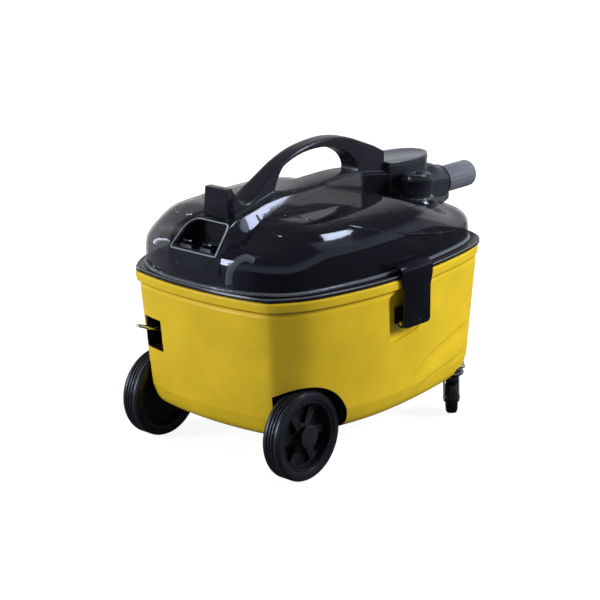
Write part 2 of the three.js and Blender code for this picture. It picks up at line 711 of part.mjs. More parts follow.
// The bracket in the wall's recess: a plate with a barrel between the latch's cheeks.
function latchBracket(side) {
  const { seat } = LATCH;
  const { y: pinY, z: pinZ, radius: pin } = LATCH_PIN;
  const plate = block(-30, 30, seat + GAP, seat + 2.3, pinZ - 2.2, pinZ + 22);
  const barrel = aboutX(rod(pin + 1.7, -24, 24, 16)).translate(0, pinY, pinZ);
  const web = block(-24, 24, seat + 1, pinY, pinZ - 2.2, pinZ + 3.5);
  return onSide(cut(join(plate, barrel, web), latchBore()), side);
}

function latchPin(side) {
  const half = LATCH.foot / 2;
  const pin = aboutX(rod(LATCH_PIN.radius, -half, half, 14));
  return onSide(pin.translate(0, LATCH_PIN.y, LATCH_PIN.z), side);
}

// ---------------------------------------------------------------- big wheels

const wheelMiddle = WHEEL.face - WHEEL.width / 2;

function tyre(side) {
  const { radius, width, rim } = WHEEL;
  const h = width / 2;
  const profile = [[rim + GAP, -h + 2], [radius - 6, -h], [radius - 1.5, -h + 1.5], [radius, -h + 5]];
  for (const y of [-4.5, 4.5]) {
    profile.push([radius, y - 1.5], [radius - 1.6, y], [radius, y + 1.5]);
  }
  profile.push([radius, h - 5], [radius - 1.5, h - 1.5], [radius - 6, h]);
  profile.push([rim + GAP, h - 2], [rim + GAP, -h + 2]);
  return aboutY(turned(profile, 28)).translate(WHEEL.x, side * wheelMiddle, radius);
}

function wheelRim(side) {
  const { rim, width, axle, radius } = WHEEL;
  const h = width / 2 - 2.5;
  const barrel = turned([[rim - 3, -h], [rim, -h], [rim, h], [rim - 3, h], [rim - 3, -h]], 28);
  const parts = join(barrel, rod(rim - 1, -3, 3, 28), rod(14, -h, h + 1, 16));
  const openings = [];
  for (let i = 0; i < 6; i += 1) {
    const opening = new THREE.Shape();
    opening.absarc(0, 0, rim - 6.5, -0.3, 0.3, false);
    opening.absarc(0, 0, 18, 0.2, -0.2, true);
    opening.closePath();
    openings.push(planExtrude(opening, -10, 10, 2).rotateZ((i + 0.5) * Math.PI / 3));
  }
  const back = rod(rim - 1, -5.5, -2.9, 28);
  const wheel = cut(join(cut(parts, ...openings), back), rod(axle + GAP, -40, 40, 16));
  return wheel.rotate([-90 * side, 0, 0]).translate([WHEEL.x, side * wheelMiddle, radius]);
}

function hubCap(side) {
  const base = WHEEL.width / 2 - 1.5 + GAP;
  const cap = turned([
    [0, base], [17, base], [17, base + 1.2], [15.9, base + 2.4], [0, base + 2.9],
  ], 24);
  return cap.rotateX(-Math.PI / 2 * side).translate(WHEEL.x, side * wheelMiddle, WHEEL.radius);
}

function wheelAxle() {
  const end = wheelMiddle + WHEEL.width / 2 - 2;
  return aboutY(rod(WHEEL.axle, -end, end, 16)).translate(WHEEL.x, 0, WHEEL.radius);
}

// A clamp that is screwed up into the channel and holds the axle.
function axleClamp(side) {
  const shape = roundedRectangle(WHEEL.x - 8.6, WHEEL.x + 8.6, FLOOR_Z - 1, WHEEL.radius + 8.6, 2);
  const clamp = sideExtrude(shape, 22, 3);
  const hole = aboutY(rod(WHEEL.axle + GAP, -50, 50, 16)).translate(WHEEL.x, 0, WHEEL.radius);
  return cut(clamp, hole).translate([0, side * 88, 0]);
}

// ---------------------------------------------------------------- casters

const CASTER_HEADING = { [-1]: 42, 1: 18 };

// Sets a piece made about the swivel axis, rolling along +X, in its place on one side.
function onCaster(piece, side) {
  return asSolid(piece).rotate([0, 0, CASTER_HEADING[side]]).translate([CASTER.x, side * CASTER.y, 0]);
}

function casterPlate(side) {
  const { ceiling } = CASTER;
  const plate = planExtrude(roundedRectangle(-20, 20, -20, 20, 4), ceiling - 3, ceiling - GAP, 3);
  const race = turned([
    [0, ceiling - 9], [11, ceiling - 9], [15, ceiling - 4], [15, ceiling - 2.5], [0, ceiling - 2.5],
  ], 20);
  const kingpin = turned([
    [0, ceiling - 22], [6, ceiling - 22], [6, ceiling - 19.5], [3.5, ceiling - 19.5], [3.5, ceiling - 5],
    [0, ceiling - 5],
  ], 14);
  return onCaster(join(plate, race, kingpin), side);
}

function casterFork(side) {
  const { radius, width, trail, ceiling } = CASTER;
  const crown = ceiling - 9 - GAP;
  const inside = width / 2 + 1.2;
  const boss = turned([
    [3.8, crown - 9], [17, crown - 9], [19.5, crown - 6], [18, crown - 2], [12, crown], [3.8, crown],
    [3.8, crown - 9],
  ], 16);
  const leg = new THREE.Shape();
  leg.moveTo(-trail - 7, radius - 3);
  leg.absarc(-trail, radius, 7.5, 1.15 * Math.PI, 1.95 * Math.PI, false);
  leg.lineTo(13, crown - 10);
  leg.lineTo(13, crown - 6.5);
  leg.lineTo(-15, crown - 6.5);
  leg.closePath();
  const legs = [-1, 1].map((end) => sideExtrude(leg, 2.2, 4).translate(0, end * (inside + 1.1), 0));
  const bridge = block(-12, 13, -inside - 2.2, inside + 2.2, crown - 9, crown - 6.5);
  const pinHole = aboutY(rod(3 + GAP, -30, 30, 14)).translate(-trail, 0, radius);
  const kingpinHole = rod(3.5 + GAP, 0, 100, 14);
  return onCaster(cut(join(boss, bridge, ...legs), pinHole, kingpinHole), side);
}

function casterWheel(side) {
  const { radius, width, trail } = CASTER;
  const h = width / 2;
  const wheel = turned([
    [3 + GAP, -h], [9, -h], [10, -h + 1.5], [radius - 7, -h + 1.5], [radius - 5, -h],
    [radius - 1.5, -h + 1.4], [radius, -h + 4.5], [radius, h - 4.5], [radius - 1.5, h - 1.4],
    [radius - 5, h], [radius - 7, h - 1.5], [10, h - 1.5], [9, h], [3 + GAP, h], [3 + GAP, -h],
  ], 20);
  return onCaster(aboutY(wheel).translate(-trail, 0, radius), side);
}

function casterPin(side) {
  const { radius, width, trail } = CASTER;
  const half = width / 2 + 4.5;
  return onCaster(aboutY(rod(3, -half, half, 12)).translate(-trail, 0, radius), side);
}

// ---------------------------------------------------------------- cord hook

// A wire bail that turns on a pin inside the near end's window.
function cordHook() {
  const { x, y, z, reach, width, wire, rise } = HOOK;
  const half = width / 2;
  const side = [[0, half], [-14, half], [-30, half], [-41, 6.5]];
  const points = [...side.map(([px, py]) => [px, -py]), [-reach, 0], ...side.reverse()];
  const bail = bentTube(points.map(([px, py]) => new THREE.Vector3(px, py, 0)), wire, 16, 6);
  const eyes = [-1, 1].map((end) => aboutY(rod(4, -2.2, 2.2, 10)).translate(0, end * half, 0));
  const bore = aboutY(rod(2 + GAP, -30, 30, 12));
  return cut(join(bail, ...eyes), bore).rotate([0, rise, 0]).translate([x, y, z]);
}

function hookPin() {
  const { y0, y1 } = WINDOW;
  const half = (y1 - y0) / 2 - GAP;
  return aboutY(rod(2, -half, half, 12)).translate(HOOK.x, (y0 + y1) / 2, HOOK.z);
}

// ---------------------------------------------------------------- mains inlet and spray coupling

function inletHole(grow) {
  const { x, y, z } = INLET;
  return block(x - 20, x + 5, y - 13 - grow, y + 13 + grow, z - 10 - grow, z + 10 + grow);
}

// A recessed mains inlet: a flange and a socket that reaches through the wall.
function powerInlet() {
  const { x, y, z, halfY, halfZ } = INLET;
  const flange = block(x + GAP, x + 3.3, y - halfY + 1, y + halfY - 1, z - halfZ + 1, z + halfZ - 1);
  const box = block(x - 22, x + 2, y - 13, y + 13, z - 10, z + 10);
  const cavity = block(x - 19, x + 10, y - 11, y + 11, z - 8, z + 8);
  return cut(join(flange, box), cavity, inletTerminals(GAP));
}

// The three blades of the inlet on their carrier behind it.
function inletTerminals(grow = 0) {
  const { x, y, z } = INLET;
  const carrier = block(x - 27 - grow, x - 22 + (grow || -GAP), y - 12, y + 12, z - 9, z + 9);
  const blades = [[-7, -2], [0, 2], [7, -2]].map(([dy, dz]) => block(
    x - 23, x - 5, y + dy - 1 - grow, y + dy + 1 + grow, z + dz - 2.5 - grow, z + dz + 2.5 + grow));
  return join(carrier, ...blades);
}

const couplingHole = (grow) => aboutX(rod(7 + grow, -20, 5, 16)).translate(INLET.x, -INLET.y, INLET.z);

// The brass quick coupling for the spray line.
function sprayCoupling() {
  const { x, y, z } = INLET;
  const body = turned([
    [4, -16], [7, -16], [7, GAP], [12, GAP], [12, 5], [8.5, 6], [8.5, 9], [9.5, 10], [9.5, 13], [8, 14.5],
    [4, 14.5], [4, -16],
  ], 14);
  return aboutX(body).translate(x, -y, z);
}

function couplingNut() {
  const { x, y, z } = INLET;
  const nut = ring(7 + GAP, 12, -9.5, -WALL - GAP, 6);
  return cut(aboutX(nut), aboutX(rod(7 + GAP, -30, 10, 16))).translate([x, -y, z]);
}

// ---------------------------------------------------------------- inside the machine

const TANK = { wall: 2.5, corner: 25 };

// The outside of a tank with rounded upright corners, or with `shrink` the room inside it.
function tankBody(x0, x1, halfY, z0, z1, shrink = 0) {
  const plan = roundedRectangle(
    x0 + shrink, x1 - shrink, shrink - halfY, halfY - shrink, TANK.corner - shrink);
  return planExtrude(plan, z0 + shrink, z1 + 2 * shrink, 4);
}

// The solution tank, with a dent round the pocket that the cord hook folds out of.
function solutionTank() {
  const size = [-217, -8, 82, 82, 214];
  const outside = cut(tankBody(...size), hookPocket(WALL + 0.5));
  return cut(outside, cut(tankBody(...size, TANK.wall), hookPocket(WALL + 0.5 + TANK.wall)));
}

// The recovery tank, with a raised bay that reaches under the down pipe.
function recoveryTank() {
  const main = [0, 138, 125, 66, 168];
  const bay = [82, 222, 84, 100, 168];
  const room = join(tankBody(...main, TANK.wall), tankBody(...bay, TANK.wall));
  return cut(join(tankBody(...main), tankBody(...bay)), room);
}

// The bent clear tube from the solution tank up through the deck into the hood.
function pickupTube() {
  const { x, y, radius } = PICKUP;
  const points = [[-192, -26, 96], [-196, -28, 150], [-205, -33, 210], [x, y, 262], [x, y - 2, 285],
    [x + 1, y - 12, 301], [x + 5, y - 28, 311], [x + 12, y - 38, 306]];
  return bentTube(points.map(([px, py, pz]) => new THREE.Vector3(px, py, pz)), radius, 18, 8);
}

function pickupStrainer() {
  const holder = turned([[0, 86], [9, 86], [10, 89], [10, 104], [8, 107], [0, 107]], 16);
  const socket = rod(PICKUP.radius + 1.3, 95, 120, 14);
  return cut(holder, socket).translate([-192, -26, 0]);
}

function fanHousing() {
  const r = MOTOR.radius;
  const shell = turned([
    [0, 230], [r - 12, 230], [r, 240], [r, 272], [r + 6, 272], [r + 6, 275], [r - 2, 276], [r - 10, 292],
    [24, 296], [24, 293], [r - 12, 289], [r - 3, 270], [r - 3, 242], [r - 14, 233], [0, 233], [0, 230],
  ], 20);
  return shell.translate(MOTOR.x, 0, 0);
}

const motorGasket = () => ring(MOTOR.radius + 0.5, MOTOR.radius + 6, DECK.top + GAP, 271.7, 20)
  .translate(MOTOR.x, 0, 0);

// The suction fan: a disc with straight vanes on the motor's shaft.
function fanRotor() {
  const disc = turned([[0, 234], [3.5, 234], [3.5, 246], [46, 246], [46, 248], [9, 250], [9, 268], [3.5, 272],
    [3.5, 306], [0, 306]], 24);
  const vanes = [];
  for (let i = 0; i < 7; i += 1) {
    vanes.push(block(8, 46, -0.8, 0.8, 247, 264).rotateZ(i * 2 * Math.PI / 7));
  }
  return join(disc, ...vanes).translate([MOTOR.x, 0, 0]);
}

function motorCan() {
  const can = turned([[0, 297], [30, 297], [31, 299], [31, 316], [28, 320], [0, 320]], 20);
  return cut(can, rod(3.5 + 0.5, 280, 308, 12)).translate([MOTOR.x, 0, 0]);
}

// The solution pump, hung under the deck beside the fan.
function pump() {
  const top = DECK.bottom - GAP;
  const flange = planExtrude(roundedRectangle(-22, 22, -18, 18, 4), top - 3, top, 3);
  const barrel = rod(15, top - 38, top - 2, 20);
  const spout = aboutX(rod(4, 0, 24, 12)).translate(0, 0, top - 24);
  return join(flange, barrel, spout).translate([-142, 52, 0]);
}

// ---------------------------------------------------------------- the machine

const model = new THREE.Group();

function add(name, piece, colour) {
  const geometry = piece.isBufferGeometry ? piece : geometryOf(piece);
  const mesh = new THREE.Mesh(geometry, new THREE.MeshStandardMaterial(COLOUR[colour]));
  mesh.name = name;
  model.add(mesh);
}

add('tub', tub(), 'yellow');
add('rim_gasket', rimGasket(), 'rubber');
add('deck', deck(), 'black');
add('hood', hood(), 'black');
add('dome', dome(), 'smoke');
add('console_tray', consoleTray(), 'black');
add('handle', handle(), 'black');
add('front_post', frontPost(), 'matteBlack');
add('separator_chamber', separatorChamber(), 'smoke');
add('chamber_lid', chamberLid(), 'smoke');
add('float_cage', floatCage(), 'greyPlastic');
add('float_ball', floatBall(), 'whiteTank');
add('down_pipe', downPipe(), 'black');
add('cuff_collar', cuffCollar(), 'matteBlack');
add('hose_cuff', hoseCuff(), 'black');
add('filler_cap', fillerCap(), 'matteBlack');
add('cap_seal', capSeal(), 'rubber');
add('wheel_axle', wheelAxle(), 'steel');
add('cord_hook', cordHook(), 'steel');
add('hook_pin', hookPin(), 'steel');
add('power_inlet', powerInlet(), 'matteBlack');
add('inlet_terminals', inletTerminals(), 'steel');
add('spray_coupling', sprayCoupling(), 'brass');
add('coupling_nut', couplingNut(), 'brass');
add('solution_tank', solutionTank(), 'whiteTank');
add('recovery_tank', recoveryTank(), 'whiteTank');
add('pickup_tube', pickupTube(), 'clear');
add('pickup_strainer', pickupStrainer(), 'greyPlastic');
add('fan_housing', fanHousing(), 'greyPlastic');
add('motor_gasket', motorGasket(), 'rubber');
add('fan_rotor', fanRotor(), 'steel');
add('motor_can', motorCan(), 'steel');
add('pump', pump(), 'greyPlastic');

for (const [word, side] of [['right', -1], ['left', 1]]) {
  add(`rocker_${word}`, rocker(side), 'black');
  add(`latch_${word}`, latch(side), 'black');
  add(`latch_bracket_${word}`, latchBracket(side), 'matteBlack');
  add(`latch_pin_${word}`, latchPin(side), 'steel');
  add(`tyre_${word}`, tyre(side), 'rubber');
  add(`wheel_rim_${word}`, wheelRim(side), 'matteBlack');
  add(`hub_cap_${word}`, hubCap(side), 'black');
  add(`axle_clamp_${word}`, axleClamp(side), 'matteBlack');
  add(`caster_plate_${word}`, casterPlate(side), 'steel');
  add(`caster_fork_${word}`, casterFork(side), 'greyPlastic');
  add(`caster_wheel_${word}`, casterWheel(side), 'rubber');
  add(`caster_pin_${word}`, casterPin(side), 'steel');
}

// The whole machine is centred on its own box along X.
const machine = new THREE.Group();
const box = new THREE.Box3().setFromObject(model);
model.position.x = -(box.min.x + box.max.x) / 2;
machine.add(model);

export default machine;
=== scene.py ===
"""Looks of the spray-extraction carpet cleaner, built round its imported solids.

Shapes are worked out in millimetres in the part's design frame, whose X starts near the
middle of the tub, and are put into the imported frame, in metres, when a mesh is made.
"""

import json
import math

import bmesh
import bpy
import numpy as np
from mathutils import Matrix, Vector
from mathutils.bvhtree import BVHTree

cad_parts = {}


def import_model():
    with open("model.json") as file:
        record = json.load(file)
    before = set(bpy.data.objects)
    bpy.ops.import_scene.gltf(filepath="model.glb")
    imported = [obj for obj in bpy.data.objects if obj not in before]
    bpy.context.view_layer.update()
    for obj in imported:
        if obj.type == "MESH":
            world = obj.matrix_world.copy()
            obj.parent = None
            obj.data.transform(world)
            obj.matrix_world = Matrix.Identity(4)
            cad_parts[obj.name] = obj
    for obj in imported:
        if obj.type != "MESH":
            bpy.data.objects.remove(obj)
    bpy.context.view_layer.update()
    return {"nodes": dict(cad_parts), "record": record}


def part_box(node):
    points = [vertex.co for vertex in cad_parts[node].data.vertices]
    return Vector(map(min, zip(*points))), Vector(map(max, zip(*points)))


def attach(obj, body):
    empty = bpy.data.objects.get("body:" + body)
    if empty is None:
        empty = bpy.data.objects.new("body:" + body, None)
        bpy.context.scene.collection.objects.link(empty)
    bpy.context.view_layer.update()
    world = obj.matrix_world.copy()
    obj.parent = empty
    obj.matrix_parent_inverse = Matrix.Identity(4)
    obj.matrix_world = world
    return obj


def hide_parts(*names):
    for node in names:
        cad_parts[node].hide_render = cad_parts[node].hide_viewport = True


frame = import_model()

# ---------------------------------------------------------------- dimensions, in millimetres

MM = 0.001
GAP = 0.3

WHEEL = dict(radius=65, width=31, x=-178.5, face=156, rim=50.4)
WELL = dict(radius=70, inner=121, corner=33, top=122, axle=9)
RIM_Z = 263.5
FLOOR_Z = 59
WALL = 3
END_X, CORNER_X, CORNER_Y = 243.5, 227.5, 128.5
DRAFT_X, DRAFT_Y = 0.925, 0.94
DECK_BOTTOM, DECK_TOP = 263.8, 269.7
DOME_BASE, DOME_WALL, DOME_POWER = 270, 2.6, 5.4
DOME_CROWN, NEAR_DIP, FAR_DIP = 353, 19, 33
HOOD = dict(wall=2.4, inset=14, near_share=196 / 228, far_share=182 / 220, crown=338, far_dip=38)
NICHE = dict(x=-188, foot=44, head=37, floor=316, top=352, corner=14)
ROCKER = dict(x=-221, y=19, length=25, width=17, z=322.9, tilt=9)
POST = dict(x0=-194.5, x1=-182, foot=340, top=398, foot_width=54.8, top_width=42.6)
HANDLE_WIDTH, HANDLE_START, HANDLE_END = 42, -181.7, 147
CHAMBER = dict(x=192, length=65, width=38, flat=147.3, bottom=286, top=375.7, wall=2.6)
SOCKET = dict(z=319, middle=324, half=27, end=296, bottom=286)
CUFF = dict(radius=21, bore=17.5, start=300, end=374)
PIPE = dict(x=205, radius=16, bore=13.6, bottom=205)
FLOAT = dict(ball=8.6, bottom=334)
PICKUP = dict(x=-207, y=-34, radius=4.8)
CAP = dict(x=170, y=-63, radius=22.8, bottom=332.3, top=363.8, bore=7)
NECK = dict(radius=19, top=348.8, foot=33, base=321, root=300)
LATCH = dict(x=9, width=68, foot=58, face=196, bottom=190.5, seat=177)
PIN = dict(y=187.8, z=197.5, radius=2.5)
CASTER = dict(x=180, y=124, radius=25, width=17, trail=15, ceiling=75.5, well=35)
CASTER_HEADING = {-1: 42, 1: 18}
HOOK = dict(x=-208, y=104.5, z=175, reach=47, width=19, wire=2, rise=20)
WINDOW = dict(x=-230, y0=80, y1=121, z0=151, z1=198, depth=44)
INLET = dict(x=228, y=60, z=190, half_y=20, half_z=18, body_y=13, body_z=10)
SPRAY_RADIUS = 7
MOTOR_HOLE = dict(x=-50, radius=59.5)
SPINE_FOOT = 290

# How far cutting shapes reach: through the deck, under and over the machine, and past its hose end.
DECK_CUT = (200, 300)
BELOW, ABOVE, BEYOND = -20, 500, 300

SIDES = (("right", -1), ("left", 1))


def middle(node):
    """The centre of a CAD node, in metres."""
    low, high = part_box(node)
    return (low + high) / 2


SHIFT = middle("tyre_right").x / MM - WHEEL["x"]


# ---------------------------------------------------------------- curves

def lerp(a, b, t):
    return a + (b - a) * t


def smoothstep(value, low, high):
    t = np.clip((value - low) / (high - low), 0, 1)
    return t * t * (3 - 2 * t)


def resample(points, count):
    """`count` + 1 points evenly spaced along a dense polyline."""
    points = np.asarray(points, float)
    steps = np.linalg.norm(np.diff(points, axis=0), axis=1)
    along = np.concatenate([[0], np.cumsum(steps)])
    wanted = np.linspace(0, along[-1], count + 1)
    return np.stack([np.interp(wanted, along, points[:, k]) for k in range(points.shape[1])], 1)


def dense_spline(points, per_span=24):
    """A Catmull-Rom spline through the points."""
    pts = np.asarray(points, float)
    padded = np.vstack([pts[:1], pts, pts[-1:]])
    t = np.linspace(0, 1, per_span, endpoint=False)[:, None]
    spans = []
    for i in range(len(pts) - 1):
        a, b, c, d = padded[i:i + 4]
        bend = (2 * a - 5 * b + 4 * c - d) + t * (3 * b - a - 3 * c + d)
        spans.append(b + 0.5 * t * ((c - a) + t * bend))
    return np.vstack([*spans, pts[-1:]])


def spline(points, count):
    return resample(dense_spline(points), count)


def arched(start, pull, end, t):
    """A quadratic curve from start to end, drawn towards a point between them."""
    start, pull, end = (np.asarray(p, float) for p in (start, pull, end))
    return (1 - t) ** 2 * start + 2 * t * (1 - t) * pull + t * t * end


def rounded(corners, steps=6):
    """A closed polygon of (x, y, radius) corners, each rounded by its radius."""
    out = []
    count = len(corners)
    for i, (x, y, radius) in enumerate(corners):
        here = np.array([x, y], float)
        before = np.array(corners[i - 1][:2], float) - here
        after = np.array(corners[(i + 1) % count][:2], float) - here
        room = min(np.linalg.norm(before), np.linalg.norm(after)) * 0.49
        before /= np.linalg.norm(before)
        after /= np.linalg.norm(after)
        half = math.acos(np.clip(before @ after, -1, 1)) / 2
        if radius <= 0 or abs(half - math.pi / 2) < 1e-4:
            out.append(here)
            continue
        reach = min(radius / math.tan(half), room)
        radius = reach * math.tan(half)
        bisector = before + after
        bisector /= np.linalg.norm(bisector)
        centre = here + bisector * radius / math.sin(half)
        start = here + before * reach - centre
        end = here + after * reach - centre
        sweep = math.atan2(start[0] * end[1] - start[1] * end[0], start @ end)
        for k in range(steps + 1):
            a = sweep * k / steps
            turn = np.array([[math.cos(a), -math.sin(a)], [math.sin(a), math.cos(a)]])
            out.append(centre + turn @ start)
    return np.array(out)


def rectangle(x0, x1, y0, y1, radius):
    return rounded([(x0, y0, radius), (x1, y0, radius), (x1, y1, radius), (x0, y1, radius)])


def panel(x, y, half_x, half_y, radius):
    """A rounded rectangle about its centre."""
    return rectangle(x - half_x, x + half_x, y - half_y, y + half_y, radius)


def from_corner(corner, steps):
    """Points given by their steps from one corner of an outline."""
    return [tuple(a + b for a, b in zip(corner, step)) for step in steps]


def circle(radius, count):
    angles = np.linspace(0, 2 * math.pi, count, endpoint=False)
    return np.stack([radius * np.cos(angles), radius * np.sin(angles)], 1)


def softened(points, passes):
    """Rounds the corners of a closed outline a little."""
    for _ in range(passes):
        points = (np.roll(points, 1, 0) + 2 * points + np.roll(points, -1, 0)) / 4
    return points


def softened_line(path, passes):
    """Rounds the corners of an open line a little, with its ends kept."""
    path = np.array(path)
    for _ in range(passes):
        path[1:-1] = (path[:-2] + 2 * path[1:-1] + path[2:]) / 4
    return path


def offset(points, grow):
    """Moves each point of a closed outline outwards, square to the outline."""
    along = np.roll(points, -1, 0) - np.roll(points, 1, 0)
    along /= np.linalg.norm(along, axis=1)[:, None]
    return points + np.stack([along[:, 1], -along[:, 0]], 1) * grow


def whole(half):
    """A closed outline from its half on the -Y side."""
    return np.vstack([half, half[1:-1][::-1] * [1, -1]])


def across(axis, outline, height):
    """A plane outline as 3-D points across an axis, at one height or at each point's own."""
    a, b = np.asarray(outline, float).T
    h = np.broadcast_to(height, a.shape)
    return np.stack({"z": (a, b, h), "y": (a, h, b), "x": (h, a, b)}[axis], 1)


# ---------------------------------------------------------------- meshes

def mesh_object(vertices, faces):
    """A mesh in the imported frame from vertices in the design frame."""
    vertices = (np.asarray(vertices, float) + [SHIFT, 0, 0]) * MM
    mesh = bpy.data.meshes.new("piece")
    mesh.from_pydata(vertices.tolist(), [], [list(f) for f in faces])
    work = bmesh.new()
    work.from_mesh(mesh)
    bmesh.ops.recalc_face_normals(work, faces=work.faces)
    work.to_mesh(mesh)
    work.free()
    obj = bpy.data.objects.new("piece", mesh)
    bpy.context.scene.collection.objects.link(obj)
    return obj


def loft(rings, closed_path=False):
    """Skins a stack of closed rings, and caps its two ends."""
    count = len(rings[0])
    vertices = np.vstack(rings)
    faces = []
    turns = len(rings) if closed_path else len(rings) - 1
    for level in range(turns):
        a = level * count
        b = ((level + 1) % len(rings)) * count
        for i in range(count):
            j = (i + 1) % count
            faces.append((a + i, a + j, b + j, b + i))
    if not closed_path:
        faces.append(range(count - 1, -1, -1))
        last = (len(rings) - 1) * count
        faces.append(range(last, last + count))
    return mesh_object(vertices, faces)


def prism(outline, low, high, axis="z"):
    """An outline raised between two levels of the axis that it stands across."""
    return loft([across(axis, outline, level) for level in (low, high)])


def block(x0, x1, y0, y1, z0, z1, radius=0.0):
    outline = rectangle(x0, x1, y0, y1, radius) if radius else [(x0, y0), (x1, y0), (x1, y1), (x0, y1)]
    return prism(outline, z0, z1)


def turned(profile, centre, axis="z", segments=64, closed=False):
    """A profile of (radius, height) turned about an axis; a closed one makes a ring."""
    radii, heights = np.asarray(profile, float).T
    rings = [across(axis, np.outer(radii, way), heights) + centre for way in circle(1, segments)]
    obj = loft(rings, closed_path=True)
    if closed:
        return obj
    work = bmesh.new()
    work.from_mesh(obj.data)
    bmesh.ops.remove_doubles(work, verts=work.verts, dist=1e-7)
    loose = [e for e in work.edges if not e.link_faces]
    bmesh.ops.delete(work, geom=loose, context="EDGES")
    bmesh.ops.recalc_face_normals(work, faces=work.faces)
    work.to_mesh(obj.data)
    work.free()
    return obj


def disc(radius, low, high, centre, axis="z", segments=64):
    """A plain round bar."""
    return loft([across(axis, circle(radius, segments), level) + centre for level in (low, high)])


def grooved(stations, centre, axis, segments, grooves, edges, depth):
    """A ring from stations (height, radius, share of the groove), grooved along its length."""
    angles = np.linspace(0, 2 * math.pi, segments, endpoint=False)
    sunk = depth * smoothstep(-np.cos(angles * grooves), *edges)
    rings = []
    for height, radius, share in stations:
        reach = radius - share * sunk
        rings.append(across(axis, circle(1, segments) * reach[:, None], height) + centre)
    return loft(rings, closed_path=True)


def sweep(path, radius, sides=16):
    """A round bar along a path of 3-D points, with its ends rounded in."""
    path = np.asarray(path, float)
    tangents = np.gradient(path, axis=0)
    tangents /= np.linalg.norm(tangents, axis=1)[:, None]
    normal = np.cross(tangents[0], [0.13, 0.2, 0.97])
    normal /= np.linalg.norm(normal)
    rings = []
    edge = circle(1, sides)
    for i, (point, tangent) in enumerate(zip(path, tangents)):
        normal = normal - tangent * (normal @ tangent)
        normal /= np.linalg.norm(normal)
        side = np.cross(tangent, normal)
        scale = radius * (0.75 if i in (0, len(path) - 1) else 1)
        rings.append(point + scale * (edge[:, :1] * normal + edge[:, 1:] * side))
    return loft(rings)


def applied(obj):
    """Applies all modifiers of an object."""
    evaluated = obj.evaluated_get(bpy.context.evaluated_depsgraph_get())
    mesh = bpy.data.meshes.new_from_object(evaluated)
    obj.modifiers.clear()
    old = obj.data
    obj.data = mesh
    bpy.data.meshes.remove(old)
    return obj


def discard(obj):
    mesh = obj.data
    bpy.data.objects.remove(obj)
    bpy.data.meshes.remove(mesh)


def combine(obj, tools, operation):
    for tool in tools:
        modifier = obj.modifiers.new("combine", "BOOLEAN")
        modifier.operation = operation
        modifier.solver = "MANIFOLD"
        modifier.object = tool
        applied(obj)
    for tool in tools:
        discard(tool)
    return obj


def cut(obj, *tools):
    return combine(obj, tools, "DIFFERENCE")


def join(obj, *tools):
    return combine(obj, tools, "UNION")


def common(obj, *tools):
    return combine(obj, tools, "INTERSECT")


def grouped(objects):
    """Several separate shells as one object."""
    first, *rest = objects
    work = bmesh.new()
    for obj in objects:
        work.from_mesh(obj.data)
    work.to_mesh(first.data)
    work.free()
    for obj in rest:
        discard(obj)
    return first


def placed(obj, centre, turn=0.0, tilt=0.0):
    """Tips a piece's +X end down by `tilt` degrees, turns it about Z by `turn`, and moves it."""
    turn, tilt = math.radians(turn), math.radians(tilt)
    x, y, z = (np.array([v.co for v in obj.data.vertices]) / MM - [SHIFT, 0, 0]).T
    x, z = x * math.cos(tilt) + z * math.sin(tilt), z * math.cos(tilt) - x * math.sin(tilt)
    x, y = x * math.cos(turn) - y * math.sin(turn), x * math.sin(turn) + y * math.cos(turn)
    moved = (np.stack([x, y, z], 1) + centre + [SHIFT, 0, 0]) * MM
    obj.data.vertices.foreach_set("co", moved.ravel())
    obj.data.update()
    return obj


def bevelled(obj, width, segments=2, angle=30):
    modifier = obj.modifiers.new("bevel", "BEVEL")
    modifier.width = width * MM
    modifier.segments = segments
    modifier.limit_method = "ANGLE"
    modifier.angle_limit = math.radians(angle)
    modifier.use_clamp_overlap = True
    return applied(obj)


def surface_tree(obj):
    """The faces of a piece, to be searched when a bead is laid on it."""
    mesh = obj.data
    corners = [v.co.copy() for v in mesh.vertices]
    return BVHTree.FromPolygons(corners, [list(p.vertices) for p in mesh.polygons])


def world_point(point):
    return Vector((np.asarray(point, float) + [SHIFT, 0, 0]) * MM)


def design_point(vector):
    return np.array(vector) / MM - [SHIFT, 0, 0]


def laid_bead(tree, line, radius, sunk, sides=10):
    """A thin round bead that follows a surface near a line of points."""
    path = []
    for point in spline(line, 90):
        place, normal, _, _ = tree.find_nearest(world_point(point))
        path.append(design_point(place) - np.array(normal) * sunk)
    return sweep(softened_line(path, 3), radius, sides)


def finished(obj, name, body, slot, material, *nodes, angle=35):
    """Gives a piece its name, body and material, in place of the CAD nodes named. The slot is not used."""
    obj.name = name
    obj.data.name = name
    obj.data.materials.clear()
    obj.data.materials.append(material)
    obj.data.polygons.foreach_set("material_index", [0] * len(obj.data.polygons))
    obj.data.shade_smooth()
    obj.data.set_sharp_from_angle(angle=math.radians(angle))
    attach(obj, body)
    if nodes:
        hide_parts(*nodes)


# ---------------------------------------------------------------- materials

COOL = (0.66, 0.73, 1.0)
# The first colour is painted shade for the wheel wells and deep in the hook's window; the second is painted
# shade under the tub's lip.
RECESS_SHADE, LIP_SHADE = (0.006, 0.006, 0.007), (0.34, 0.2, 0.004)

# A Mix node has its colour sockets after those for numbers and vectors.
MIX_COLOURS, MIX_RESULT = (6, 7), 2


def surface(tree):
    return tree.nodes["Principled BSDF"]


def shader(name, colour, roughness, metallic=0.0, alpha=1.0, ior=1.46, specular=0.5, tint=(1, 1, 1)):
    """A Principled material with its plain values set on the shader's own sockets."""
    material = bpy.data.materials.new(name)
    material.use_nodes = True
    values = {
        "Base Color": (*colour, 1), "Roughness": roughness, "Metallic": metallic, "Alpha": alpha, "IOR": ior,
        "Specular IOR Level": specular, "Specular Tint": (*tint, 1),
    }
    for key, value in values.items():
        surface(material.node_tree).inputs[key].default_value = value
    return material


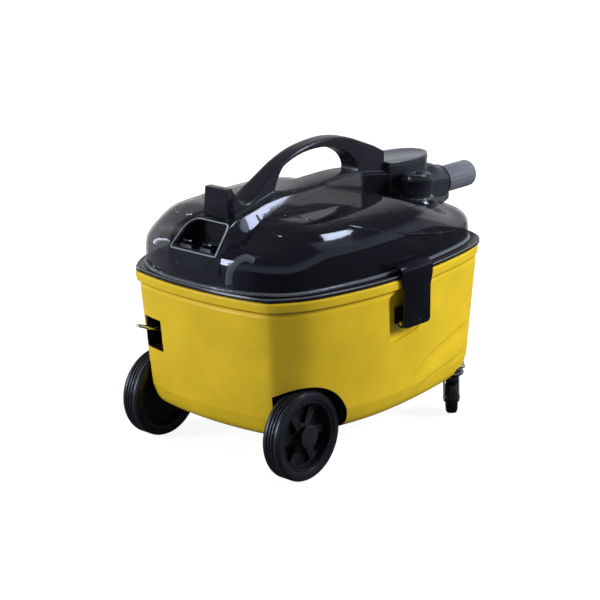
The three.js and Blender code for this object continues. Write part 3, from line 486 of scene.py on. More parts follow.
def add_node(tree, kind, **values):
    node = tree.nodes.new(kind)
    for key, value in values.items():
        if key in node.inputs:
            node.inputs[key].default_value = value
        else:
            setattr(node, key, value)
    return node


def feed(tree, value, socket):
    """Gives a socket another node's output, a colour or a plain number."""
    if isinstance(value, bpy.types.NodeSocket):
        tree.links.new(value, socket)
    elif isinstance(value, tuple):
        socket.default_value = (*value, 1)
    else:
        socket.default_value = value


def coordinates(tree, stretch=(1, 1, 1)):
    where = add_node(tree, "ShaderNodeTexCoord")
    mapping = add_node(tree, "ShaderNodeMapping", Scale=stretch)
    feed(tree, where.outputs["Object"], mapping.inputs["Vector"])
    return mapping.outputs["Vector"]


def axes_of(tree, vector):
    split = add_node(tree, "ShaderNodeSeparateXYZ")
    feed(tree, vector, split.inputs["Vector"])
    return [split.outputs[axis] for axis in "XYZ"]


def noise(tree, scale, detail=3.0, stretch=(1, 1, 1)):
    node = add_node(tree, "ShaderNodeTexNoise", Scale=scale, Detail=detail, Roughness=0.55)
    feed(tree, coordinates(tree, stretch), node.inputs["Vector"])
    return node.outputs["Fac"]


def ranged(tree, value, low, high, out_low, out_high):
    """Maps a value's middle range onto another range, clamped."""
    limits = {"From Min": low, "From Max": high, "To Min": out_low, "To Max": out_high}
    node = add_node(tree, "ShaderNodeMapRange", **limits)
    feed(tree, value, node.inputs["Value"])
    return node.outputs["Result"]


def combined(tree, operation, first, second=0):
    node = add_node(tree, "ShaderNodeMath", operation=operation)
    feed(tree, first, node.inputs[0])
    feed(tree, second, node.inputs[1])
    return node.outputs["Value"]


def times(tree, first, second):
    return combined(tree, "MULTIPLY", first, second)


def larger(tree, first, second):
    return combined(tree, "MAXIMUM", first, second)


def blended(tree, factor, first, second):
    """A colour that goes from the first to the second with a factor."""
    node = add_node(tree, "ShaderNodeMix", data_type="RGBA")
    feed(tree, factor, node.inputs[0])
    for index, colour in zip(MIX_COLOURS, (first, second)):
        feed(tree, colour, node.inputs[index])
    return node.outputs[MIX_RESULT]


def bump(tree, height, distance, strength=1.0, after=None):
    node = add_node(tree, "ShaderNodeBump", Strength=strength, Distance=distance)
    feed(tree, height, node.inputs["Height"])
    if after is not None:
        feed(tree, after, node.inputs["Normal"])
    return node.outputs["Normal"]


def worn_edges(tree, gain):
    """Where the surface is convex, from its pointiness."""
    geometry = add_node(tree, "ShaderNodeNewGeometry")
    edge = ranged(tree, geometry.outputs["Pointiness"], 0.52, 0.62, 0, gain)
    return times(tree, edge, ranged(tree, noise(tree, 160), 0.4, 0.65, 0, 1))


def scratches(tree, scale=60.0, stretch=(1, 9, 3)):
    """Sparse hair lines."""
    lines = noise(tree, scale, detail=1, stretch=stretch)
    crest = combined(tree, "ABSOLUTE", combined(tree, "SUBTRACT", lines, 0.5))
    return ranged(tree, crest, 0.0, 0.012, 1, 0)


def dress(tree, colour, roughness, normal):
    """Leads colour, roughness and normal into a material's shader."""
    target = surface(tree)
    feed(tree, colour, target.inputs["Base Color"])
    feed(tree, roughness, target.inputs["Roughness"])
    feed(tree, normal, target.inputs["Normal"])


def moulded(name, colour, wear_colour, roughness, grain, wear, **values):
    """Moulded plastic or rubber: mottled colour, uneven gloss, fine grain, scuffs and worn edges.

    The grain is given by its scale and its depth in millimetres.
    """
    material = shader(name, colour, roughness, **values)
    tree = material.node_tree
    scale, depth = grain
    mottle = ranged(tree, noise(tree, 14, detail=4), 0.35, 0.65, 0, 1)
    base = blended(tree, mottle, tuple(c * 0.88 for c in colour), colour)
    worn = larger(tree, worn_edges(tree, wear), times(tree, scratches(tree), wear * 0.08))
    gloss = ranged(tree, noise(tree, 30, detail=4), 0.3, 0.7, roughness * 0.82, roughness * 1.2)
    scuffed = combined(tree, "ADD", gloss, times(tree, worn, 0.2))
    fine = bump(tree, noise(tree, scale, detail=2), depth * MM)
    wavy = bump(tree, noise(tree, 26, detail=1), 0.12 * MM, 0.5, after=fine)
    dress(tree, blended(tree, worn, base, wear_colour), scuffed, wavy)
    return material


def smoked(name, colour, alpha, roughness=0.04):
    """Smoked clear plastic: mostly see-through, with haze, fine scratches and soft waviness."""
    material = shader(name, colour, roughness, alpha=alpha, ior=1.75, tint=COOL)
    tree = material.node_tree
    haze = ranged(tree, noise(tree, 9, detail=5), 0.35, 0.75, 0, 1)
    lines = times(tree, scratches(tree, 45, (1, 6, 2)), 0.5)
    mark = larger(tree, times(tree, haze, 0.25), lines)
    pale = tuple(c * 2.2 + 0.012 for c in colour)
    rough = ranged(tree, mark, 0, 1, roughness, roughness + 0.16)
    wavy = bump(tree, noise(tree, 22, detail=1), 0.16 * MM, 0.5)
    dress(tree, blended(tree, mark, colour, pale), rough, wavy)
    return material


def plated(name, colour, roughness):
    """Bright metal: brushed lines, uneven polish and dull spots."""
    material = shader(name, colour, roughness, metallic=1.0)
    tree = material.node_tree
    spots = ranged(tree, noise(tree, 90, detail=5), 0.55, 0.75, 0, 0.7)
    dull = tuple(c * 0.55 for c in colour)
    rough = ranged(tree, spots, 0, 1, roughness, roughness + 0.25)
    brushed = bump(tree, noise(tree, 500, detail=2, stretch=(1, 1, 30)), 0.02 * MM)
    dress(tree, blended(tree, spots, colour, dull), rough, brushed)
    return material


def within(tree, value, low, high, edge=0.3):
    """One where a length in metres lies between two levels in millimetres, and zero elsewhere."""
    above = ranged(tree, value, (low - edge) * MM, (low + edge) * MM, 0, 1)
    below = ranged(tree, value, (high - edge) * MM, (high + edge) * MM, 1, 0)
    return times(tree, above, below)


def painted(tree, mask, colour):
    """Lays a plain colour over a material's own where the mask is one."""
    target = surface(tree).inputs["Base Color"]
    feed(tree, blended(tree, mask, target.links[0].from_socket, colour), target)


def in_wheel_well(tree, x, y, z):
    """One on the walls of the wheel wells, with a little to spare."""
    off_x = combined(tree, "SUBTRACT", x, (WHEEL["x"] + SHIFT) * MM)
    off_z = combined(tree, "SUBTRACT", z, WHEEL["radius"] * MM)
    squares = combined(tree, "ADD", times(tree, off_x, off_x), times(tree, off_z, off_z))
    round_part = within(tree, combined(tree, "SQRT", squares), -1, WELL["radius"] + 0.7)
    along = within(tree, off_x, -WELL["corner"] - 0.6, 2)
    corner = times(tree, along, within(tree, z, -1, WELL["top"] + 0.6))
    outboard = within(tree, combined(tree, "ABSOLUTE", y), WELL["inner"] - 0.4, 300)
    return times(tree, outboard, larger(tree, round_part, corner))


def in_hook_window(tree, x, y, z):
    """One on the walls of the hook's window, from near its mouth at the bottom and from deeper above."""
    w = WINDOW
    wide = within(tree, y, w["y0"] - 0.5, w["y1"] + 0.5)
    mouth = times(tree, wide, within(tree, z, w["z0"] - 0.5, w["z1"] + 0.5))
    face, back = w["x"] + SHIFT, w["x"] + SHIFT + 50
    deep = within(tree, x, face + 11, back)
    low = times(tree, within(tree, z, 0, w["z0"] + 14), within(tree, x, face + 1, back))
    return times(tree, mouth, larger(tree, deep, low))


def tub_plastic():
    """Yellow, with painted shade: black in the wheel wells and deep in the hook's window, and a darker band
    under the lip.
    """
    material = moulded("yellow_shell", (0.755, 0.53, 0.02), (0.88, 0.72, 0.12), 0.4, (1500, 0.012), 0.3,
                       specular=0.35)
    tree = material.node_tree
    x, y, z = axes_of(tree, coordinates(tree))
    # Painted shade: the walls of the wheel wells and the deep part of the hook's window are coloured black.
    painted(tree, larger(tree, in_wheel_well(tree, x, y, z), in_hook_window(tree, x, y, z)), RECESS_SHADE)
    # Painted shade: a darker band under the lip, where the lip's shadow falls.
    under_lip = within(tree, z, RIM_Z - 17.5, RIM_Z - 14, 1.2)
    painted(tree, times(tree, under_lip, 0.85), LIP_SHADE)
    return material


YELLOW = tub_plastic()
BLACK = moulded("black_gloss", (0.004, 0.0045, 0.007), (0.05, 0.05, 0.06), 0.12, (1800, 0.004), 0.3,
                tint=COOL)
SATIN = moulded("black_satin", (0.018, 0.019, 0.025), (0.06, 0.06, 0.07), 0.24, (1300, 0.01), 0.4, tint=COOL)
MATTE = moulded("black_matte", (0.011, 0.0115, 0.015), (0.05, 0.05, 0.055), 0.42, (1100, 0.03), 0.4,
                specular=0.2, tint=COOL)
CUFF_BLACK = moulded("cuff_black", (0.13, 0.14, 0.18), (0.12, 0.12, 0.14), 0.2, (1300, 0.006), 0.3,
                     tint=COOL)
TYRE = moulded("tyre_rubber", (0.014, 0.015, 0.02), (0.05, 0.05, 0.05), 0.3, (1400, 0.02), 0.5, tint=COOL)
SEAL = moulded("seal_rubber", (0.012, 0.012, 0.013), (0.05, 0.05, 0.05), 0.7, (900, 0.03), 0.3)
GREY = moulded("grey_plastic", (0.17, 0.175, 0.19), (0.32, 0.32, 0.34), 0.42, (1200, 0.02), 0.4)
WHITE = moulded("white_plastic", (0.72, 0.72, 0.69), (0.82, 0.82, 0.8), 0.4, (1000, 0.02), 0.3)
# A paler grey for the deck's edge, as a painted highlight line.
DECK_EDGE_HIGHLIGHT = moulded("deck_edge_painted_highlight", (0.12, 0.125, 0.145), (0.3, 0.3, 0.33), 0.16, (1800, 0.004), 0.3)
SMOKE = smoked("smoked_dome", (0.006, 0.0066, 0.010), 0.54)
LID = smoked("smoked_lid", (0.10, 0.108, 0.13), 0.9, 0.14)
SMOKE_DARK = smoked("smoked_chamber", (0.024, 0.026, 0.034), 0.8)
# A pale smoke for the niche's rim, as a painted highlight round its mouth.
NICHE_RIM_HIGHLIGHT = smoked("niche_rim_painted_highlight", (0.34, 0.36, 0.44), 0.75, 0.1)
# A paler smoke for the dome's foot bead, as a painted highlight line.
BEAD_HIGHLIGHT = smoked("dome_bead_painted_highlight", (0.16, 0.17, 0.21), 0.6, 0.08)
CHROME = plated("bright_steel", (0.72, 0.73, 0.76), 0.16)
STEEL = plated("dark_steel", (0.3, 0.31, 0.34), 0.22)
BRASS = plated("brass", (0.62, 0.45, 0.2), 0.28)
TUBE = smoked("clear_tube", (0.82, 0.84, 0.88), 0.92, 0.25)
# Painted glow: a faint emission makes the clear tube show lit through the smoked dome.
surface(TUBE.node_tree).inputs["Emission Color"].default_value = (0.8, 0.85, 1.0, 1)
surface(TUBE.node_tree).inputs["Emission Strength"].default_value = 0.16


# ---------------------------------------------------------------- the tub's outline

def half_outline(end_steps, side_steps):
    """Half of the rim on the -Y side: a bowed end, then one long curve to the hose end."""
    t = np.linspace(0, 1, 100)[:, None]
    curve = arched((-END_X, 0), (-END_X, -CORNER_Y * 0.55), (-CORNER_X, -CORNER_Y), t)
    end = resample(curve, end_steps)
    side = spline([
        (-CORNER_X, -CORNER_Y), (-179, -160.5), (-98, -180.5), (-20, -186.5), (80, -180),
        (188, -159.5), (228, -124), (241, -62), (244, 0),
    ], side_steps)
    return np.vstack([end[:-1], side])


RIM = softened(whole(half_outline(46, 190)), 10)

# Where the two flowing creases of each long wall run: (x, z).
CREASES = (
    np.array([
        (-12, 50), (-6, 68), (7, 87), (26, 105), (51, 122), (67, 129), (92, 135), (138, 144), (170, 149),
    ]),
    np.array([
        (22, 66), (34, 83), (45, 89), (63, 94), (82, 96), (102, 98), (135, 101), (165, 106),
    ]),
)


def crease_depth(x, z):
    """How far the long walls are set back just below each crease."""
    deepest = 1.7
    depth = np.zeros(len(x))
    for line in CREASES:
        (start, _), (end, _) = line[[0, -1]]
        below = np.interp(x, line[:, 0], line[:, 1]) - z
        along = smoothstep(x, start, start + 30) * (1 - smoothstep(x, end - 15, end + 12))
        depth += deepest * along * smoothstep(below, -1.5, 2.5) * (1 - smoothstep(below, 4, 34))
    return depth


def tub_ring(z, grow, creased=False):
    """The tub's outline at a height: it narrows downwards, and the lip fades at the hose end."""
    t = (z - FLOOR_Z) / (RIM_Z - FLOOR_Z)
    if grow > 0:
        grow = grow * lerp(1, 0.3, smoothstep(RIM[:, 0], 120, 215))[:, None]
    points = offset(RIM, grow) * [lerp(DRAFT_X, 1, t), lerp(DRAFT_Y, 1, t)]
    if creased:
        points[:, 1] -= np.sign(points[:, 1]) * crease_depth(points[:, 0], z)
    return across("z", points, z)


# ---------------------------------------------------------------- tub

def wheel_pocket(side, grow):
    """The room round a big wheel: a round part, and a square corner towards the near end."""
    w = WELL
    inner = w["inner"] - grow
    y0, y1 = sorted((side * inner, side * (inner + 100)))
    room = disc(w["radius"] + grow, y0, y1, (WHEEL["x"], 0, WHEEL["radius"]), "y", 96)
    corner = block(WHEEL["x"] - w["corner"] - grow, WHEEL["x"] + 2, y0, y1, BELOW, w["top"] + grow)
    return join(room, corner)


def caster_pocket(side, grow):
    c = CASTER
    return disc(c["well"] + grow, BELOW, c["ceiling"] + grow, (c["x"], side * (c["y"] + 2), 0), "z", 72)


def axle_channel(grow):
    x, half = WHEEL["x"], WELL["axle"] + grow
    return block(x - half, x + half, -200, 200, BELOW, WHEEL["radius"] + half)


def latch_recess(side, grow):
    """The recess behind a latch, whose foot slopes and whose near flank leans away."""
    corners = [(-34, 168, 8), (24, 177, 14), (41, 186, 6), (41, 232, 8), (-18, 246, 20), (-43, 240, 8)]
    outline = offset(rounded(corners, 8), grow)
    outline[:, 0] = LATCH["x"] - side * (outline[:, 0] - LATCH["x"])
    y0, y1 = sorted((side * (LATCH["seat"] - grow), side * 230))
    return prism(outline, y0, y1, "y")


def inlet_recess(side, grow):
    outline = panel(side * INLET["y"], INLET["z"], INLET["half_y"] + grow, INLET["half_z"] + grow, 3)
    return prism(outline, INLET["x"] - grow, BEYOND, "x")


def hook_pocket(grow):
    w = WINDOW
    outline = rectangle(w["y0"] - grow, w["y1"] + grow, w["z0"] - grow, w["z1"] + grow, 1.5)
    return prism(outline, w["x"] - 30, w["x"] + w["depth"] + grow, "x")


def wall_cuts(grow):
    cuts = [axle_channel(grow), hook_pocket(grow)]
    for _, side in SIDES:
        cuts += [wheel_pocket(side, grow), caster_pocket(side, grow)]
        cuts += [latch_recess(side, grow), inlet_recess(side, grow)]
    return cuts


def tub():
    """The yellow tub: walls with creases, a rolled rim, and recesses that the walls follow inwards."""
    foot = spline(from_corner((FLOOR_Z, 0), [(0, -26), (2, -16), (12, -6), (32, 0)]), 14)
    walls = [(z, 0) for z in np.arange(FLOOR_Z + 34, RIM_Z - 24, 2.4)]
    step = from_corner((RIM_Z, 0), [(-23, 0), (-22, -0.4), (-21, -0.9), (-18, -1.1)])
    lip = [(246.6, -1.2), (248.2, -1.0), (248.9, 0.4), (249.2, 2.6), (250, 4), (252, 4.4)]
    edge = [(256, 4.5), (260.5, 4.6), (262.4, 4.1), (263.3, 2.9), (RIM_Z, 1.6)]
    profile = [*foot, *walls, *step, *spline(lip, 10), *spline(edge, 9)]
    outer = loft([tub_ring(z, grow, creased=True) for z, grow in profile])
    inside = [(FLOOR_Z + WALL, -26), (FLOOR_Z + 14, -WALL - 7), (FLOOR_Z + 34, -WALL)]
    inside += [(z, -WALL) for z in np.arange(FLOOR_Z + 40, RIM_Z - 4, 8)] + [(RIM_Z + 5, -WALL + 1)]
    inner = loft([tub_ring(z, grow) for z, grow in inside])
    cut(inner, *wall_cuts(WALL))
    cut(outer, *wall_cuts(0), inner)
    x, y, z = INLET["x"] + 5, INLET["y"], INLET["z"]
    half_y, half_z = INLET["body_y"] + GAP, INLET["body_z"] + GAP
    mains = block(x - 33, x, y - half_y, y + half_y, z - half_z, z + half_z)
    spray = disc(SPRAY_RADIUS + GAP, x - 33, x, (0, -y, z), "x", 32)
    cut(outer, mains, spray)
    finished(bevelled(outer, 0.9, angle=42), "tub_shell", "root", "yellow_shell", YELLOW, "tub", angle=40)


# ---------------------------------------------------------------- dome

def dome_foot(steps):
    half = spline([
        (-242, 0), (-238, -58), (-221, -110), (-186, -147), (-98, -168), (-20, -174), (80, -168),
        (180, -148), (219, -114), (232, -58), (234, 0),
    ], steps)
    return whole(half)


FOOT = dome_foot(110)


def crown_z(x):
    """The height of the dome's roof along its middle."""
    return DOME_CROWN - NEAR_DIP * smoothstep(-x, 130, 200) - FAR_DIP * smoothstep(x, 55, 172)


def crowned(foot, skirt, base, crown, stations, taper):
    """A closed form over a foot outline, from a skirt below it if there is one, up to a crown."""
    rings = [across("z", foot, skirt)] if skirt < DOME_BASE else []
    for u, lift in stations:
        x = foot[:, 0] * (1 - taper + taper * u)
        rings.append(across("z", np.column_stack([x, foot[:, 1] * u]), lerp(base, crown(x), lift)))
    return loft(rings)


def crown_stations(power, start=0.88, wall=18, roof=22):
    """Pairs (plan scale, lift) along a superellipse, close together at its shoulder."""
    closer, smallest = 1.6, 0.02
    lifts = start * (1 - (1 - np.linspace(0, 1, wall)) ** closer)
    spans = np.maximum(start * (1 - np.linspace(0, 1, roof)[1:] ** closer), smallest)

    def other(share):
        return (1 - share ** power) ** (1 / power)

    return [(other(lift), lift) for lift in lifts] + [(span, other(span)) for span in spans]


def dome_body(grow, skirt):
    stations = crown_stations(DOME_POWER)
    return crowned(offset(FOOT, grow), skirt, DOME_BASE, lambda x: crown_z(x) + grow, stations, 0.6)


# The raised spine: x, top height, top half-width, edge height, edge half-width.
SPINE = [
    (-241, 318, 46, 300, 50), (-229, 331, 44, 312, 50), (-216, 343.5, 40, 324, 49), (-203, 351, 36, 331, 49),
    (-189, 355, 33, 334, 49), (-155, 359, 28, 346, 45), (-110, 366, 24, 355, 38), (-60, 369, 24, 364, 32),
    (0, 370.5, 24, 369, 28), (60, 373, 24, 372, 27), (100, 370.5, 24, 369, 27), (165, 360, 24, 358, 28),
]


def spine(grow):
    """The raised spine, a little larger or smaller all round."""
    stations = dense_spline(SPINE, 8)
    rings = []
    for i, (x, top_z, top_y, edge_z, edge_y) in enumerate(stations):
        end = (-grow if i == 0 else 0) + (grow if i == len(stations) - 1 else 0)
        top, edge = top_y + grow, edge_y + grow
        right = [(edge, SPINE_FOOT, 1), (edge, min(edge_z, top_z - 1), 4), (top, top_z + grow, 3.5)]
        left = [(-y, z, radius) for y, z, radius in right[::-1]]
        section = rounded([left[-1], *right, *left[:-1]], 4)
        rings.append(across("x", section, x + end))
    return loft(rings)


def niche_outline(grow):
    n = NICHE
    foot, head, floor, top = n["foot"] + grow, n["head"] + grow, n["floor"] - grow, n["top"] + grow
    corners = [(-foot, floor, 2), (foot, floor, 2), (head, top, n["corner"]), (-head, top, n["corner"])]
    return rounded(corners, 10)


def niche(grow):
    end = NICHE["x"] + grow
    return prism(niche_outline(grow), end - 100, end, "x")


def chamber_plan(grow, steps=80):
    """The chamber's plan: an oval cut off flat towards the handle."""
    c = CHAMBER
    reach = c["length"] + grow
    angle = math.acos((c["flat"] - grow - c["x"]) / reach)
    angles = np.linspace(-angle, angle, steps)
    return np.stack([c["x"] + reach * np.cos(angles), (c["width"] + grow) * np.sin(angles)], 1)


def socket_section(grow):
    r = SOCKET["half"] + grow
    low = SOCKET["bottom"] - grow
    arc = np.linspace(0, math.pi, 32)
    top = np.stack([r * np.cos(arc), SOCKET["middle"] + (30 + grow) * np.sin(arc)], 1)
    return np.vstack([[(-r, low), (r, low)], top])


def chamber_room(grow):
    room = prism(chamber_plan(grow), CHAMBER["bottom"] - grow, ABOVE)
    return join(room, prism(socket_section(grow), CHAMBER["x"], SOCKET["end"] + grow, "x"))


# Raised lines on the dome: the swoosh over its roof and down its long wall, and the roof panel's edge.
SWOOSH = [
    (-118, -43, 353), (-109, -90, 352), (-103, -119, 350), (-87, -138, 347), (-62, -156, 341),
    (-33, -166, 333), (-1, -170, 325), (24, -171, 317), (50, -170, 312), (82, -167, 305), (120, -162, 298),
    (151, -155, 297), (176, -149, 295),
]
PANEL_EDGE = [
    (-162, -47, 344), (-164, -75, 343), (-168, -92, 341), (-163, -110, 341), (-156, -119, 342),
    (-137, -129, 346), (-107, -130, 348), (-72, -129, 349), (-51, -132, 349), (-13, -142, 347),
    (28, -145, 346), (80, -140, 342),
]


def niche_bead(tree):
    """The rolled rim round the mouth of the console's niche."""
    outline = niche_outline(0)
    outline = resample(np.vstack([outline, outline[:1]]), 160)
    path = []
    for y, z in np.vstack([outline, outline[1:3]]):
        place = tree.ray_cast(world_point((-400, y, z)), Vector((1, 0, 0)))[0]
        path.append(design_point(place))
    return sweep(softened_line(path, 2), 1.1, 12)


def dome():
    """The smoked shell: body, spine and filler neck, hollow, and open at the niche and the chamber."""
    r, top, foot, base, root = (NECK[key] for key in ("radius", "top", "foot", "base", "root"))
    centre = (CAP["x"], CAP["y"], 0)
    slope = [(foot, base - 6), (foot - 2, base), (25, base + 4.5), (20.5, base + 7), (r, base + 11)]
    slope = spline(slope, 14)
    neck = turned([(0, root), (foot, root), *slope, (r, top), (0, top)], centre)
    lining = [(max(x - 3, 1), z - 1) for x, z in slope]
    deeper = root - 10
    throat = turned([(0, deeper), (foot - 3, deeper), *lining, (r - 3, top + 5), (0, top + 5)], centre)
    shell = join(dome_body(0, DOME_BASE), spine(0))
    tree = surface_tree(shell)
    # The niche's rim is made of pale smoke, as a painted highlight round the niche's mouth.
    finished(niche_bead(tree), "niche_rim", "lid", "smoked_clear", NICHE_RIM_HIGHLIGHT)
    creases = []
    for _, side in SIDES:
        for line in (SWOOSH, PANEL_EDGE):
            creases.append(laid_bead(tree, [(x, -side * y, z) for x, y, z in line], 1.5, 0.8))
    join(shell, neck, *creases)
    room = join(dome_body(-DOME_WALL, DOME_BASE - 4), spine(-DOME_WALL), throat)
    cut(room, niche(DOME_WALL))
    cut(shell, niche(0), room, chamber_room(GAP))
    bevelled(shell, 0.7, angle=38)
    finished(shell, "dome_shell", "lid", "smoked_clear", SMOKE, "dome", angle=34)


def neck_collar():
    """The clear ring round the foot of the filler neck, with its ratchet lugs."""
    x, y, base = CAP["x"], CAP["y"], NECK["base"] + 4.4
    section = from_corner((20, base), [(0, 0), (4.6, 0), (4.6, 2.6), (3.6, 3.6), (0, 3.6)])
    pieces = [turned(section, (x, y, 0), closed=True)]
    for lug_x, lug_y in circle(24.2, 18):
        pieces.append(disc(1.3, base + 0.4, base + 3.2, (x + lug_x, y + lug_y, 0), "z", 10))
    finished(grouped(pieces), "neck_ring", "lid", "smoked_clear", LID)


# ---------------------------------------------------------------- deck and hood

def deck_edge(grow, z):
    return across("z", offset(RIM, grow), z)


def deck():
    """The plate under the dome, with a rib that hangs into the tub and a groove for the gasket."""
    rim = [(DECK_BOTTOM, 1.4), (DECK_BOTTOM + 0.5, 2.8), (DECK_BOTTOM + 1.5, 3.5)]
    rim += from_corner((DECK_TOP, 0), [
        (-2.4, 3.5), (-1.6, 3.2), (-0.8, 2.4), (-0.2, 1.2), (0, 0), (0, -0.6), (-0.5, -1.2), (-0.5, -3)])
    plate = loft([deck_edge(grow, z) for z, grow in rim])
    rib = loft([deck_edge(-9, DECK_BOTTOM - 9), deck_edge(-7.5, DECK_BOTTOM + 1)])
    rib = cut(rib, loft([deck_edge(-12, DECK_BOTTOM - 10), deck_edge(-12, DECK_BOTTOM - 0.01)]))
    gasket = cut(
        loft([deck_edge(2.3, DECK_BOTTOM - 1.2), deck_edge(2.3, DECK_BOTTOM + 2.5)]),
        loft([deck_edge(-1.8, DECK_BOTTOM - 3), deck_edge(-1.8, DECK_BOTTOM + 4)]))
    motor = disc(MOTOR_HOLE["radius"], *DECK_CUT, (MOTOR_HOLE["x"], 0, 0))
    suction = disc(PIPE["radius"] + GAP, *DECK_CUT, (PIPE["x"], 0, 0))
    tube = disc(PICKUP["radius"] + 1, *DECK_CUT, (PICKUP["x"], PICKUP["y"], 0))
    cut(join(plate, rib), gasket, motor, suction, tube)
    finished(plate, "deck_plate", "lid", "black_gloss", BLACK, "deck", angle=30)


def deck_lip():
    """The deck's rounded edge, paler grey than the deck as a painted highlight."""
    corners = [(1.9, -1.6, 0.3), (3.7, -1.6, 0.5), (3.2, 0.1, 0.8), (1.9, 0.1, 0.3)]
    section = rounded(from_corner((0, DECK_TOP, 0), corners), 4)
    lip = loft([deck_edge(grow, z) for grow, z in section], closed_path=True)
    finished(lip, "deck_lip", "lid", "black_gloss", DECK_EDGE_HIGHLIGHT)


def dome_bead():
    """The bead round the dome's foot, in a paler smoke as a painted highlight."""
    corners = [(-1.2, 0.2, 0.2), (3.4, 0.2, 0.8), (3.4, 3.5, 1.6), (0.6, 4.3, 1.4), (-1.2, 4.3, 0.3)]
    section = rounded(from_corner((0, DECK_TOP, 0), corners), 6)
    bead = loft([across("z", offset(FOOT, grow), z) for grow, z in section], closed_path=True)
    finished(bead, "dome_bead", "lid", "smoked_clear", BEAD_HIGHLIGHT)


def deck_screws():
    """Screw heads that hold the hood down, on the deck between it and the dome."""
    heads = []
    for x, y in offset(FOOT, -9)[5::22]:
        profile = from_corner((0, DECK_TOP), [(0, 0), (3.6, 0), (3.6, 1.2), (2.6, 2.2), (0, 2.4)])
        head = turned(profile, (x, y, 0), segments=24)
        slot = block(x - 2.2, x + 2.2, y - 0.35, y + 0.35, DECK_TOP + 1.6, DECK_TOP + 4)
        heads.append(cut(head, slot))
    finished(grouped(heads), "deck_screws", "lid", "bright_steel", CHROME)


def hood_body(grow, skirt):
    """The hood follows the dome's foot, set in and shortened by a share at each end."""
    foot = offset(FOOT, grow - HOOD["inset"])
    foot[:, 0] *= np.where(foot[:, 0] < 0, HOOD["near_share"], HOOD["far_share"])

    def crown(x):
        return HOOD["crown"] - HOOD["far_dip"] * smoothstep(x, -30, 90) + grow

    return crowned(foot, skirt, DOME_BASE + GAP, crown, crown_stations(4, 0.84, 14, 16), 0.65)


def hood():
    shell = cut(hood_body(0, DOME_BASE + GAP), hood_body(-HOOD["wall"], DOME_BASE - 4))
    cut(shell, niche(DOME_WALL + GAP), chamber_room(1))
    finished(shell, "hood_shell", "lid", "black_gloss", BLACK, "hood", angle=30)


# ---------------------------------------------------------------- console

def around_rocker(side, margin_x, margin_y, z0, z1, radius):
    r = ROCKER
    half_x, half_y = r["length"] / 2 + margin_x, r["width"] / 2 + margin_y
    y = side * r["y"]
    return block(r["x"] - half_x, r["x"] + half_x, y - half_y, y + half_y, z0, z1, radius)


def console_tray():
    lining = common(niche(-GAP), join(dome_body(-GAP - 3, DOME_BASE), spine(-GAP - 3)))
    cut(lining, niche(-GAP - 2))
    for _, side in SIDES:
        join(lining, around_rocker(side, 3.2, 2.5, NICHE["floor"] + 1, ROCKER["z"] + 0.6, 2))
        cut(lining, around_rocker(side, 1.2, 0.5, NICHE["floor"] + 2, ROCKER["z"] + 5, 0.8))
    finished(bevelled(lining, 0.5, angle=40), "console_lining", "lid", "black_gloss", SATIN, "console_tray")


def rocker(word, side):
    """A rocker key: a hollow top, and a bottom that pivots on its middle."""
    r = ROCKER
    half, lip = r["length"] / 2, 4.6
    profile = [(-half, 1), (-3, -2), (3, -2), (half, 1), (half, lip)]
    dish = arched((half, lip), (0, 1.6), (-half, lip), np.linspace(0, 1, 14)[1:, None])
    key = prism(np.vstack([profile, dish]), -r["width"] / 2, r["width"] / 2, "y")
    placed(key, (r["x"], side * r["y"], r["z"]), tilt=r["tilt"])
    name = f"rocker_key_{word}"
    finished(bevelled(key, 0.6, 3), name, f"rocker_{word}", "black_gloss", BLACK, f"rocker_{word}")


# ---------------------------------------------------------------- handle

# The bow's stations, each from its crown line to its underside: x, z, x, z.
BOW = [
    (-181.7, 396.5, -181.7, 350), (-177, 390.5, -177, 350), (-171.5, 382, -171.5, 350),
    (-165, 375.5, -164, 350), (-157, 372, -154, 350), (-147, 373, -138, 352), (-133, 379, -116, 354),
    (-119, 387.5, -100, 364), (-105, 396, -91.5, 380.5), (-90, 405.5, -83, 395), (-74, 414.5, -71, 408),
    (-54, 422.5, -52, 416), (-33, 428.5, -30, 421.3), (-10, 432.3, -8, 423.2), (14, 434.3, 14, 422.5),
    (38, 434.3, 34, 419), (62, 431, 52, 412.5), (84, 424.5, 67, 405), (102, 417.5, 78, 396.5),
    (116, 412, 85.5, 386), (127, 407.5, 88, 377), (136, 403, 84, 364), (142, 400, 100, 350),
    (147, 397.5, 147, 350),
]

# The top edge of the handle's base along the spine.
BASE_TOP = [
    (147, 366), (88, 374.5), (57, 376.5), (20, 376), (-35, 374.5), (-70, 375.5), (-94, 378.5), (-110, 376.5),
    (-181.7, 358.5),
]


def bow_half_width(x):
    waist = smoothstep(x, -150, -65) * 0.31 * HANDLE_WIDTH / 2
    flare = smoothstep(x, 70, 147) * 0.15 * HANDLE_WIDTH / 2
    return HANDLE_WIDTH / 2 - waist + flare


def bow_section(crown_x, crown_height, foot_x, foot_height):
    half = float(bow_half_width(crown_x))
    depth = math.hypot(crown_x - foot_x, crown_height - foot_height)
    near = [(-half, depth, 1.6), (-half, 3.6, 0.6), (-half + 1.9, 1.7, 0.8), (-half * 0.5, 0.8, 8)]
    section = rounded(near + [(-y, drop, radius) for y, drop, radius in near[::-1]], 4)
    t = section[:, 1] / depth
    return np.column_stack([lerp(crown_x, foot_x, t), section[:, 0], lerp(crown_height, foot_height, t)])


